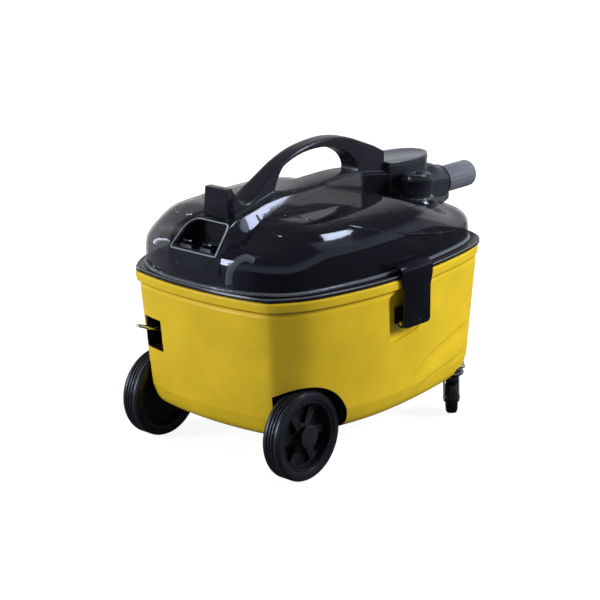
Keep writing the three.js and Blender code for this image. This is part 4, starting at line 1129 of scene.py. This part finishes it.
def handle():
    """The bow and its base in one, with five slots in the grip's far end."""
    bow = loft([bow_section(*station) for station in dense_spline(BOW, 6)])
    top, bottom, half = dense_spline(BASE_TOP, 10), 340, HANDLE_WIDTH / 2 + 1
    outline = np.vstack([[(HANDLE_START, bottom), (HANDLE_END, bottom)], top])
    base = bevelled(prism(outline, -half, half, "y"), 2.5, 3, angle=50)
    body = join(bow, base)
    pitch, slot = 5.6, 1.3
    for k in range(-2, 3):
        cut(body, block(70, 92, k * pitch - slot, k * pitch + slot, 381, 399))
    cut(body, spine(GAP))
    finished(body, "handle_bow", "lid", "black_gloss", SATIN, "handle", angle=32)


def front_post():
    p = POST
    levels = [(p["foot_width"] / 2, p["foot"]), (p["top_width"] / 2, p["top"])]
    post = loft([across("z", rectangle(p["x0"], p["x1"], -half, half, 2), z) for half, z in levels])
    cut(post, spine(GAP), niche(GAP), dome_body(GAP, DOME_BASE))
    finished(bevelled(post, 0.6, 3), "front_post_block", "lid", "black_matte", BLACK, "front_post")


# ---------------------------------------------------------------- separator chamber, cuff and cap

def trunk_ring(x, half, low, top):
    """A round-topped section of the hose socket, with rounded lower corners."""
    middle_z = SOCKET["middle"]
    arc = np.linspace(0, math.pi, 40)
    upper = np.stack([half * np.cos(arc), middle_z + (top - middle_z) * np.sin(arc)], 1)
    lower = rounded([(-half, middle_z, 0), (-half, low, 7), (half, low, 7), (half, middle_z, 0)], 6)[1:-1]
    return across("x", np.vstack([upper, lower]), x)


def socket_trunk():
    """The socket's outside, which narrows to the cuff's collar, with a seam along each side."""
    start, half, low = CHAMBER["x"], SOCKET["half"], SOCKET["bottom"]
    stations = [
        (start, half, low, 354), (262, half, low, 354), (272, 26.9, 286.2, 353), (281, 26.4, 287, 350.5),
        (288, 25.9, 289, 347.5), (SOCKET["end"], 25.7, 291.5, 345.6),
    ]
    trunk = loft([trunk_ring(*station) for station in dense_spline(stations, 5)])
    seam = block(start, 284, -half - 0.6, half + 0.6, 309.2, 310.6)
    return join(trunk, bevelled(seam, 0.4, 2))


def separator_chamber():
    c = CHAMBER
    tower = bevelled(prism(chamber_plan(0, 96), c["bottom"], c["top"]), 1.2, 3, angle=60)
    band = bevelled(prism(chamber_plan(0.9, 96), c["top"] - 5.5, c["top"] - 2.6), 0.6, 2, angle=60)
    join(tower, socket_trunk(), band)
    cavity = prism(chamber_plan(-c["wall"], 96), c["bottom"] + c["wall"], c["top"] + 5)
    passage = disc(CUFF["radius"], SOCKET["end"] - 60, SOCKET["end"] + 40, (0, 0, SOCKET["z"]), "x", 96)
    drop = disc(PIPE["bore"], *DECK_CUT, (PIPE["x"], 0, 0))
    cut(tower, cavity, passage, drop)
    finished(tower, "separator_tower", "lid", "smoked_clear", SMOKE_DARK, "separator_chamber")


def chamber_lid():
    c = CHAMBER
    top = c["top"]
    plate = bevelled(prism(chamber_plan(0, 120), top + GAP, top + 2.3), 0.8, 3, angle=60)
    plug = prism(chamber_plan(-c["wall"] - GAP, 96), top - 5, top + 1)
    join(plate, plug)
    cut(plate, bevelled(prism(chamber_plan(-5.5, 96), top + 1.6, top + 6), 0.5, 2, angle=60))
    finished(plate, "chamber_cover", "lid", "smoked_clear", LID, "chamber_lid")


def cuff_collar():
    inner, outer = CUFF["radius"] + GAP, SOCKET["half"] - 1
    profile = [(inner, -3.7), (outer, -3.7), (outer, 0.6)]
    profile += from_corner((outer, 0), [(-0.3, 1.5), (-1.2, 2.6), (-2, 3.6), (-2.6, 4)])
    profile += [(inner + 0.4, 4), (inner, 3.6)]
    collar = turned(profile, (CUFF["start"], 0, SOCKET["z"]), "x", 128, closed=True)
    finished(collar, "socket_collar", "lid", "black_matte", MATTE, "cuff_collar")


def hose_cuff():
    """The cuff's sleeve, with broad shallow flutes along its length."""
    r, bore, length = CUFF["radius"], CUFF["bore"], CUFF["end"] - CUFF["start"]
    stations = [
        *from_corner((0, r, 0), [(-14, -0.6, 0), (5.6, -0.6, 0), (6.6, -0.1, 0), (7.4, 0, 0), (9.5, 0, 1)]),
        *from_corner((length, r, 0), [(-2.6, 0, 1), (-1.4, -0.4, 1), (-0.4, -1.3, 0.7), (0, -2, 0)]),
        *from_corner((length, bore, 0), [(0, 1, 0), (-0.7, 0, 0)]), (-14, bore, 0),
    ]
    cuff = grooved(stations, (CUFF["start"], 0, SOCKET["z"]), "x", 360, 20, (-0.35, 1), 0.35)
    finished(cuff, "cuff_sleeve", "hose_cuff", "black_gloss", CUFF_BLACK, "hose_cuff", angle=50)


def filler_cap():
    """The screw cap: a ribbed skirt, a smooth rounded crown and a vent hole."""
    r, bottom, top, bore = CAP["radius"], CAP["bottom"], CAP["top"], CAP["bore"]
    inside = NECK["radius"] + 0.4
    stations = [
        (bottom, inside, 0),
        *from_corner((bottom, r, 0), [(0, -0.5, 0), (0.5, -0.05, 0), (2.2, 0, 0), (3, 0, 1)]),
        *from_corner((top, r, 0), [
            (-8.4, 0, 1), (-7.4, -0.1, 0), (-6.6, -0.7, 0), (-5.4, -1.1, 0), (-2.6, -1.2, 0),
            (-1.5, -1.9, 0), (-0.6, -3, 0), (-0.1, -4.4, 0), (0, -5.6, 0)]),
        *from_corner((top, bore, 0), [(0, 3, 0), (-0.3, 1.6, 0), (-1.1, 0.5, 0), (-2.1, 0, 0), (-5, 0, 0)]),
        (top - 5, inside, 0),
    ]
    cap = grooved(stations, (CAP["x"], CAP["y"], 0), "z", 432, 36, (0.1, 0.85), 0.75)
    finished(cap, "neck_cap", "filler_cap", "black_gloss", SATIN, "filler_cap", angle=50)


# ---------------------------------------------------------------- latches

def latch_front():
    """The T-shaped front view: a wide head, hollow shoulders and a narrower foot."""
    w, f, bottom, waist = LATCH["width"] / 2, LATCH["foot"] / 2, LATCH["bottom"], 230
    flank = [(-w, 290), (-w, 264), (-w + 0.9, 259.5), (-f - 0.9, 249), (-f, 242), (-f, waist)]
    shoulder = spline(flank, 40)[:-1]
    foot = rounded([(-f, waist, 0), (-f, bottom, 7), (f, bottom, 7), (f, waist, 0)], 8)
    return np.vstack([shoulder, foot, (shoulder * [-1, 1])[::-1]])


def latch(word, side):
    """A lever with a hook over the deck, a curved mark at its foot and an ear at each end of its pin."""
    face, bottom = LATCH["face"], LATCH["bottom"]
    strip = prism(rounded([
        (face - 3.6, bottom - 1, 0), (face, bottom - 1, 0), (face, 275, 4), (face - 2.5, 279, 4),
        (face - 9, 281, 5), (face - 19, 280.5, 1.2), (face - 19.5, 278, 0.8), (face - 10, 277.4, 3),
        (face - 6.5, 274.5, 4), (face - 3.6, 268.5, 4),
    ], 5), -LATCH["width"] / 2, LATCH["width"] / 2, "x")
    lever = common(strip, prism(latch_front(), face - 60, face + 20, "y"))
    bevelled(lever, 0.9, 3, angle=50)
    arc = np.linspace(math.pi, 2 * math.pi, 24)
    mark = np.stack([15 * np.cos(arc), bottom + 18 + 11 * np.sin(arc)], 1)
    cut(lever, sweep(across("y", mark, face + 0.35), 0.8, 12))
    join(lever, block(-20, 20, face - 8.8, face - 2, DECK_TOP + 1.7, DECK_TOP + 4.6))
    pin = (0, PIN["y"], PIN["z"])
    for end in (-1, 1):
        x = end * (LATCH["foot"] / 2 - 2)
        join(lever, disc(PIN["radius"] + 3, x - 2, x + 2, pin, "x", 32))
        join(lever, block(x - 2, x + 2, PIN["y"], face - 2, PIN["z"] - 5.5, PIN["z"] + 5.5))
    cut(lever, disc(PIN["radius"] + GAP, -60, 60, pin, "x", 32))
    placed(lever, (LATCH["x"], 0, 0), turn=0 if side > 0 else 180)
    name = f"latch_lever_{word}"
    finished(lever, name, f"latch_{word}", "black_gloss", BLACK, f"latch_{word}", angle=40)


# ---------------------------------------------------------------- big wheels

def about_axle(profile, side, segments=128, closed=True):
    profile = np.asarray(profile, float) * [1, side]
    centre = (WHEEL["x"], side * (WHEEL["face"] - WHEEL["width"] / 2), WHEEL["radius"])
    return turned(profile, centre, "y", segments, closed)


def tyre(word, side):
    """A solid tyre: broad flat walls with a step, and four ribs of tread."""
    r, h, bead = WHEEL["radius"], WHEEL["width"] / 2, WHEEL["rim"] + GAP
    wall = from_corner((bead, h), [(0, -2.6), (0.4, -2), (1.4, -1.6), (2.2, -1.5), (2.8, -0.2), (3.4, 0)])
    wall += from_corner((r, h), [(-6, 0), (-4, -0.3), (-2.4, -1.2), (-1.2, -2.6), (-0.4, -4.2), (0, -5.4)])
    groove = [(0, 1.7), (-0.3, 1.2), (-1.9, 0.8), (-1.9, -0.8), (-0.3, -1.2), (0, -1.7)]
    grooves = [point for y in (5.2, 0, -5.2) for point in from_corner((r, y), groove)]
    profile = [*wall, *grooves, *[(x, -y) for x, y in wall[::-1]]]
    finished(about_axle(profile, side, 160), f"tyre_tread_{word}", f"wheel_{word}", "tyre_rubber", TYRE,
             f"tyre_{word}", angle=32)


def spoke_gaps(rim, side):
    """The six openings between the spokes."""
    x, y, z = WHEEL["x"], side * (WHEEL["face"] - WHEEL["width"] / 2), WHEEL["radius"]
    gaps = []
    for k in range(6):
        facing = (k + 0.5) * math.pi / 3
        polar = [(rim - 6.5, a) for a in (-0.36, -0.18, 0, 0.18, 0.36)] + [(18, a) for a in (0.2, 0, -0.2)]
        corners = [(x + r * math.cos(facing + a), z + r * math.sin(facing + a), 3) for r, a in polar]
        gaps.append(prism(rounded(corners, 4), y - 12, y + 12, "y"))
    return gaps


def wheel_rim(word, side):
    """A dished rim: a barrel, six spokes, a closed back and a hub."""
    rim, h = WHEEL["rim"], WHEEL["width"] / 2 - 2.5
    barrel = about_axle([
        (rim, -h), (rim, h - 0.6), (rim - 0.5, h), (rim - 2.4, h), (rim - 3, h - 0.7), (rim - 3.6, 4),
        (rim - 3.6, -4), (rim - 3, -h),
    ], side)
    web = about_axle([(5.4, -3), (rim - 2, -3), (rim - 2, 2.2), (24, 3.4), (5.4, 5.5)], side)
    hub = about_axle([
        (5.3, -h), (13.2, -h), (14, -h + 0.8), (14, h + 0.4), (13.4, h + 1), (5.3, h + 1),
    ], side, 64)
    bevelled(cut(web, *spoke_gaps(rim, side)), 0.7, 2, angle=50)
    back = about_axle([(5.4, -5.5), (rim - 1, -5.5), (rim - 1, -2.8), (5.4, -2.8)], side)
    join(barrel, web, back, hub)
    finished(barrel, f"rim_{word}", f"wheel_{word}", "black_matte", MATTE, f"wheel_rim_{word}", angle=32)


def hub_cap(word, side):
    base = WHEEL["width"] / 2 - 1.5 + GAP
    profile = from_corner((0, base), [
        (0, 0), (16.7, 0), (17, 0.4), (17, 1.1), (16.6, 1.9), (15.7, 2.3), (10, 2.7), (5, 2.85), (0, 2.9)])
    cap = about_axle(profile, side, 96, closed=False)
    finished(cap, f"hub_cover_{word}", f"wheel_{word}", "black_gloss", SATIN, f"hub_cap_{word}", angle=40)


# ---------------------------------------------------------------- casters

def on_caster(obj, side):
    """Turns a piece built round the kingpin to its caster's heading, and moves it there."""
    return placed(obj, (CASTER["x"], side * CASTER["y"], 0), turn=CASTER_HEADING[side])


def caster_plate(word, side):
    """A pressed plate with four screws, a domed ball race and the kingpin."""
    top = CASTER["ceiling"] - GAP
    plate = bevelled(prism(panel(0, 0, 20, 20, 4), top - 2.7, top), 0.5, 2, angle=50)
    race = turned(from_corner((0, top), [
        (0, -8.7), (10.4, -8.7), (11.4, -8.3), (12.2, -7.4), (12.9, -6.9), (14.2, -5.6), (15, -4.4),
        (15.4, -3.4), (16.6, -2.2), (0, -2.2),
    ]), (0, 0, 0))
    kingpin = turned(from_corner((0, top), [
        (0, -21.7), (5.4, -21.7), (6, -21), (6, -19.6), (5.4, -19.2), (3.5, -19.2), (3.5, -4.7), (0, -4.7),
    ]), (0, 0, 0), segments=40)
    join(plate, race, kingpin)
    head = from_corner((0, top), [(0, -4.2), (2.6, -4.2), (3.2, -3.6), (3.2, -2.6), (0, -2.6)])
    join(plate, *[turned(head, (x, y, 0), segments=24) for x in (-15, 15) for y in (-15, 15)])
    finished(on_caster(plate, side), f"caster_race_{word}", "root", "bright_steel", CHROME,
             f"caster_plate_{word}")


def caster_fork(word, side):
    """A fork with a domed crown and two legs, and a black guard between them."""
    trail, r, inside = CASTER["trail"], CASTER["radius"], CASTER["width"] / 2 + 1.2
    outside = inside + 2.2
    crown = CASTER["ceiling"] - 9 - GAP
    boss = turned(from_corner((0, crown), [
        (3.8, -9), (17, -9), (18.6, -7.8), (19.5, -6), (19.3, -4.2), (18, -2), (15.6, -0.7), (12, 0),
        (3.8, 0),
    ]), (0, 0, 0), closed=True)
    arc = np.linspace(1.15 * math.pi, 1.95 * math.pi, 16)
    foot = [(-trail + 7.5 * math.cos(a), r + 7.5 * math.sin(a), 0) for a in arc]
    shoulder = from_corner((0, crown, 0), [(13, -10, 3), (13, -6.5, 0), (-15, -6.5, 3)])
    outline = rounded([(-trail - 7, r - 3, 0), *foot, *shoulder], 5)
    legs = [prism(outline, -outside, -inside, "y"), prism(outline, inside, outside, "y")]
    bridge = block(-12, 13, -outside, outside, crown - 9, crown - 6.5)
    join(boss, *legs, bridge)
    cut(boss, disc(3 + GAP, -30, 30, (-trail, 0, r), "y", 32))
    bevelled(boss, 0.5, 2, angle=50)
    guard = bevelled(block(-27, 6, 0.2 - inside, inside - 0.2, r + 26, crown - 9.2), 0.8, 2)
    body = f"caster_fork_{word}"
    finished(on_caster(guard, side), f"caster_guard_{word}", body, "black_matte", MATTE)
    finished(on_caster(boss, side), f"caster_yoke_{word}", body, "black_matte", STEEL, f"caster_fork_{word}")


def caster_wheel(word, side):
    r, h = CASTER["radius"], CASTER["width"] / 2
    half = [(3 + GAP, h), *from_corner((0, h), [(8.6, 0), (9.2, -0.4), (10, -1.6)])]
    half += from_corner((r, h), [
        (-7.2, -1.6), (-6.4, -1.1), (-5.4, -0.1), (-4.4, 0), (-2.8, -0.4), (-1.4, -1.5), (-0.4, -3.2),
        (0, -5)])
    profile = half + [(x, -y) for x, y in half[::-1]]
    wheel = turned(profile, (-CASTER["trail"], 0, r), "y", 96, closed=True)
    finished(on_caster(wheel, side), f"caster_roller_{word}", f"caster_wheel_{word}", "tyre_rubber", MATTE,
             f"caster_wheel_{word}")


# ---------------------------------------------------------------- cord hook, pickup tube

def cord_hook():
    """A wire bail with an eye at each end."""
    h = HOOK
    half = h["width"] / 2
    one = [(0, half), (-14, half), (-30, half), (-41, 6.5)]
    points = [*[(x, -y) for x, y in one], (0.1 - h["reach"], 0), *one[::-1]]
    eye = [(2.3, -2.2), (3.6, -2.2), (4, -1.8), (4, 1.8), (3.6, 2.2), (2.3, 2.2)]
    eyes = [turned(from_corner((0, y), eye), (0, 0, 0), "y", 40, closed=True) for y in (-half, half)]
    bail = join(sweep(across("z", spline(points, 90), 0), h["wire"], 20), *eyes)
    cut(bail, disc(2 + GAP, -30, 30, (0, 0, 0), "y", 32))
    placed(bail, (h["x"], h["y"], h["z"]), tilt=h["rise"])
    finished(bail, "hook_bail", "cord_hook", "bright_steel", CHROME, "cord_hook")


def pickup_tube():
    """The clear tube from the solution tank up into the dome."""
    x, y = PICKUP["x"], PICKUP["y"]
    points = [
        (-192, -26, 96), (-196, -28, 150), (-205, -33, 210), (x, y, 262), (x, y - 2, 285),
        (x + 1, y - 12, 301), (x + 5, y - 28, 311), (x + 12, y - 38, 306),
    ]
    tube = sweep(spline(points, 110), PICKUP["radius"], 24)
    finished(tube, "pickup_hose", "lid", "clear_tube", TUBE, "pickup_tube", angle=60)


# ---------------------------------------------------------------- smoother rigid pieces

def down_pipe():
    r, bore, bottom = PIPE["radius"], PIPE["bore"], PIPE["bottom"]
    top = CHAMBER["bottom"] - GAP
    pipe = turned([(bore, bottom), (r - 0.6, bottom), (r, bottom + 0.8), (r, top), (bore, top)],
                  (PIPE["x"], 0, 0), closed=True)
    finished(pipe, "drain_pipe", "lid", "black_matte", MATTE, "down_pipe", angle=40)


def float_ball():
    f = FLOAT
    centre = f["bottom"] + f["ball"] + GAP
    angles = np.linspace(-math.pi / 2, math.pi / 2, 40)
    profile = np.stack([f["ball"] * np.cos(angles), centre + f["ball"] * np.sin(angles)], 1)
    profile[[0, -1], 0] = 0
    ball = turned(profile, (PIPE["x"], 0, 0), segments=48)
    finished(ball, "float_sphere", "float", "white_plastic", WHITE, "float_ball", angle=60)


def power_inlet():
    """A flanged mains inlet with a recessed socket and two screws."""
    x, y, z, half_y, half_z = (INLET[key] for key in ("x", "y", "z", "body_y", "body_z"))
    flange = prism(panel(y, z, half_y + 6, half_z + 7, 3), x + GAP, x + 3.3, "x")
    bevelled(flange, 0.6, 2, angle=50)
    join(flange, prism(panel(y, z, half_y, half_z, 2), x - 22, x + 2, "x"))
    cut(flange, prism(panel(y, z, half_y - 2, half_z - 2, 1.6), x - 19, x + 10, "x"))
    cut(flange, block(x - 27.4, x - 18, y - 12, y + 12, z - 9.3, z + 9.3))
    head = from_corner((0, x + 3), [(0, 0), (2.4, 0), (2.4, 0.7), (1.6, 1.3), (0, 1.4)])
    join(flange, *[turned(head, (0, y + aside, z), "x", 24) for aside in (-15.8, 15.8)])
    finished(flange, "mains_inlet", "root", "black_matte", MATTE, "power_inlet")


def spray_coupling():
    """A brass quick coupling: a round flange and a grooved nose."""
    x, y, z = INLET["x"], -INLET["y"], INLET["z"]
    body = turned(from_corner((0, x), [
        (4, -16), (SPRAY_RADIUS, -16), (SPRAY_RADIUS, GAP), (11.5, GAP), (12, 0.8), (12, 4.4), (11.4, 5),
        (8.5, 5.8), (8.2, 6.4), (8.2, 8.8), (8.8, 9.6), (9.5, 10), (9.5, 12.6), (9, 13.4), (8, 14.5),
        (4.6, 14.5), (4, 13.9),
    ]), (0, y, z), "x", 64, closed=True)
    finished(body, "spray_nose", "root", "brass", BRASS, "spray_coupling")


# ---------------------------------------------------------------- the whole machine

for build in (
    tub, dome, neck_collar, deck, deck_lip, dome_bead, deck_screws, hood, console_tray, handle, front_post,
    separator_chamber, chamber_lid, cuff_collar, hose_cuff, filler_cap, cord_hook, pickup_tube,
    down_pipe, float_ball, power_inlet, spray_coupling,
):
    build()
for build in (rocker, latch, tyre, wheel_rim, hub_cap, caster_plate, caster_fork, caster_wheel):
    for word, side in SIDES:
        build(word, side)

SLOT_MATERIALS = {
    "yellow_shell": YELLOW, "black_gloss": BLACK, "black_matte": MATTE, "smoked_clear": SMOKE_DARK,
    "tyre_rubber": TYRE, "seal_rubber": SEAL, "bright_steel": CHROME, "grey_plastic": GREY,
    "white_plastic": WHITE, "brass": BRASS, "clear_tube": TUBE,
}
for subpart in frame["record"]["subparts"]:
    node = frame["nodes"][subpart["node"]]
    for slot in node.material_slots:
        slot.material = SLOT_MATERIALS[subpart["material_slot"]]


# ---------------------------------------------------------------- floor, lights and camera

CAMERA = dict(angles=(-47.54, 16.76, -0.65), place=(-2.0892, -1.8348, 1.0158), lens=115.6)
FLOOR = dict(half=15, colour=(0.25, 0.25, 0.26), mirrored_colour=(0.02, 0.02, 0.022))
STRIP_COLOUR = (0.93, 0.96, 1.0)
SOFTBOXES = {
    "key": dict(place=(1.9, -2.3, 1.5), aim=(0.05, 0, 0.15), size=(1.6, 1.2), power=118, mirrored=False),
    "near_fill": dict(place=(-2.5, 1.2, 1.1), aim=(-0.2, 0, 0.15), size=(0.8, 1.2), power=60),
    "roof_strip": dict(place=(1.285, -0.445, 2.52), aim=(-0.1, -0.15, 0.34), size=(1.4, 0.5), power=32,
                       colour=STRIP_COLOUR),
    "far_strip": dict(place=(-0.45, 2.6, 1.0), aim=(-0.25, 0.1, 0.3), size=(0.25, 1.5), power=10,
                      colour=STRIP_COLOUR),
}


def light_path_level(tree, seen, mirrored, other):
    """A strength for rays from the camera and through clear plastic, for reflections, and for the rest."""
    path = add_node(tree, "ShaderNodeLightPath").outputs
    direct = times(tree, larger(tree, path["Is Camera Ray"], path["Is Transmission Ray"]), seen)
    glossy = times(tree, path["Is Glossy Ray"], mirrored)
    return larger(tree, larger(tree, direct, glossy), other)


def floor():
    """A plane that looks white, and whose reflection darkens towards the machine's visible side."""
    mesh = bpy.data.meshes.new("floor")
    s = FLOOR["half"]
    mesh.from_pydata([(-s, -s, 0), (s, -s, 0), (s, s, 0), (-s, s, 0)], [], [(0, 1, 2, 3)])
    obj = bpy.data.objects.new("floor", mesh)
    bpy.context.scene.collection.objects.link(obj)
    material = shader("floor", FLOOR["colour"], 0.7, specular=0.1)
    tree = material.node_tree
    distance = add_node(tree, "ShaderNodeVectorMath", operation="LENGTH")
    feed(tree, coordinates(tree), distance.inputs[0])
    pale = ranged(tree, distance.outputs["Value"], 0.5, 2.2, 0.9, 1.0)
    mirrored = ranged(tree, axes_of(tree, coordinates(tree))[1], 0.1, 1.2, 0.03, 0.38)
    path = add_node(tree, "ShaderNodeLightPath")
    target = surface(tree)
    target.inputs["Emission Color"].default_value = (1, 1, 1, 1)
    shade = blended(tree, path.outputs["Is Glossy Ray"], FLOOR["colour"], FLOOR["mirrored_colour"])
    feed(tree, shade, target.inputs["Base Color"])
    feed(tree, light_path_level(tree, pale, mirrored, 0), target.inputs["Emission Strength"])
    mesh.materials.append(material)


def world():
    """White to the camera, bright low down and dark overhead in reflections, and dim as a light."""
    space = bpy.data.worlds.new("studio")
    bpy.context.scene.world = space
    space.use_nodes = True
    tree = space.node_tree
    background = tree.nodes["Background"]
    background.inputs["Color"].default_value = (1, 1, 1, 1)
    direction = add_node(tree, "ShaderNodeTexCoord").outputs["Generated"]
    mirrored = ranged(tree, axes_of(tree, direction)[2], 0.3, 0.6, 0.6, 0.06)
    feed(tree, light_path_level(tree, 1.0, mirrored, 0.12), background.inputs["Strength"])


def softbox(name, place, aim, size, power, colour=(1, 1, 1), mirrored=True):
    """A rectangular lamp aimed at a point of the machine."""
    light = bpy.data.lights.new(name, "AREA")
    light.shape = "RECTANGLE"
    light.size, light.size_y = size
    light.energy = power
    light.color = colour
    obj = bpy.data.objects.new(name, light)
    obj.location = place
    obj.visible_glossy = mirrored
    obj.rotation_euler = (Vector(aim) - Vector(place)).to_track_quat("-Z", "Y").to_euler()
    bpy.context.scene.collection.objects.link(obj)


def camera():
    """Looks from an azimuth and elevation in degrees, with the picture turned by the roll."""
    azimuth, elevation, roll = (math.radians(v) for v in CAMERA["angles"])
    level = np.array([math.sin(azimuth), -math.cos(azimuth), 0])
    back = level * math.cos(elevation) + [0, 0, math.sin(elevation)]
    right = np.cross([0, 0, 1], back)
    right /= np.linalg.norm(right)
    up = np.cross(back, right)
    turned_right = math.cos(roll) * right + math.sin(roll) * up
    turned_up = math.cos(roll) * up - math.sin(roll) * right
    lens = bpy.data.cameras.new("camera")
    lens.lens = CAMERA["lens"]
    lens.sensor_width = 36
    obj = bpy.data.objects.new("camera", lens)
    matrix = np.eye(4)
    matrix[:3, :3] = np.stack([turned_right, turned_up, back], 1)
    matrix[:3, 3] = CAMERA["place"]
    obj.matrix_world = Matrix(matrix.tolist())
    bpy.context.scene.collection.objects.link(obj)
    bpy.context.scene.camera = obj


floor()
world()
for name, values in SOFTBOXES.items():
    softbox(name, **values)
camera()

bpy.context.scene.view_settings.view_transform = "Standard"
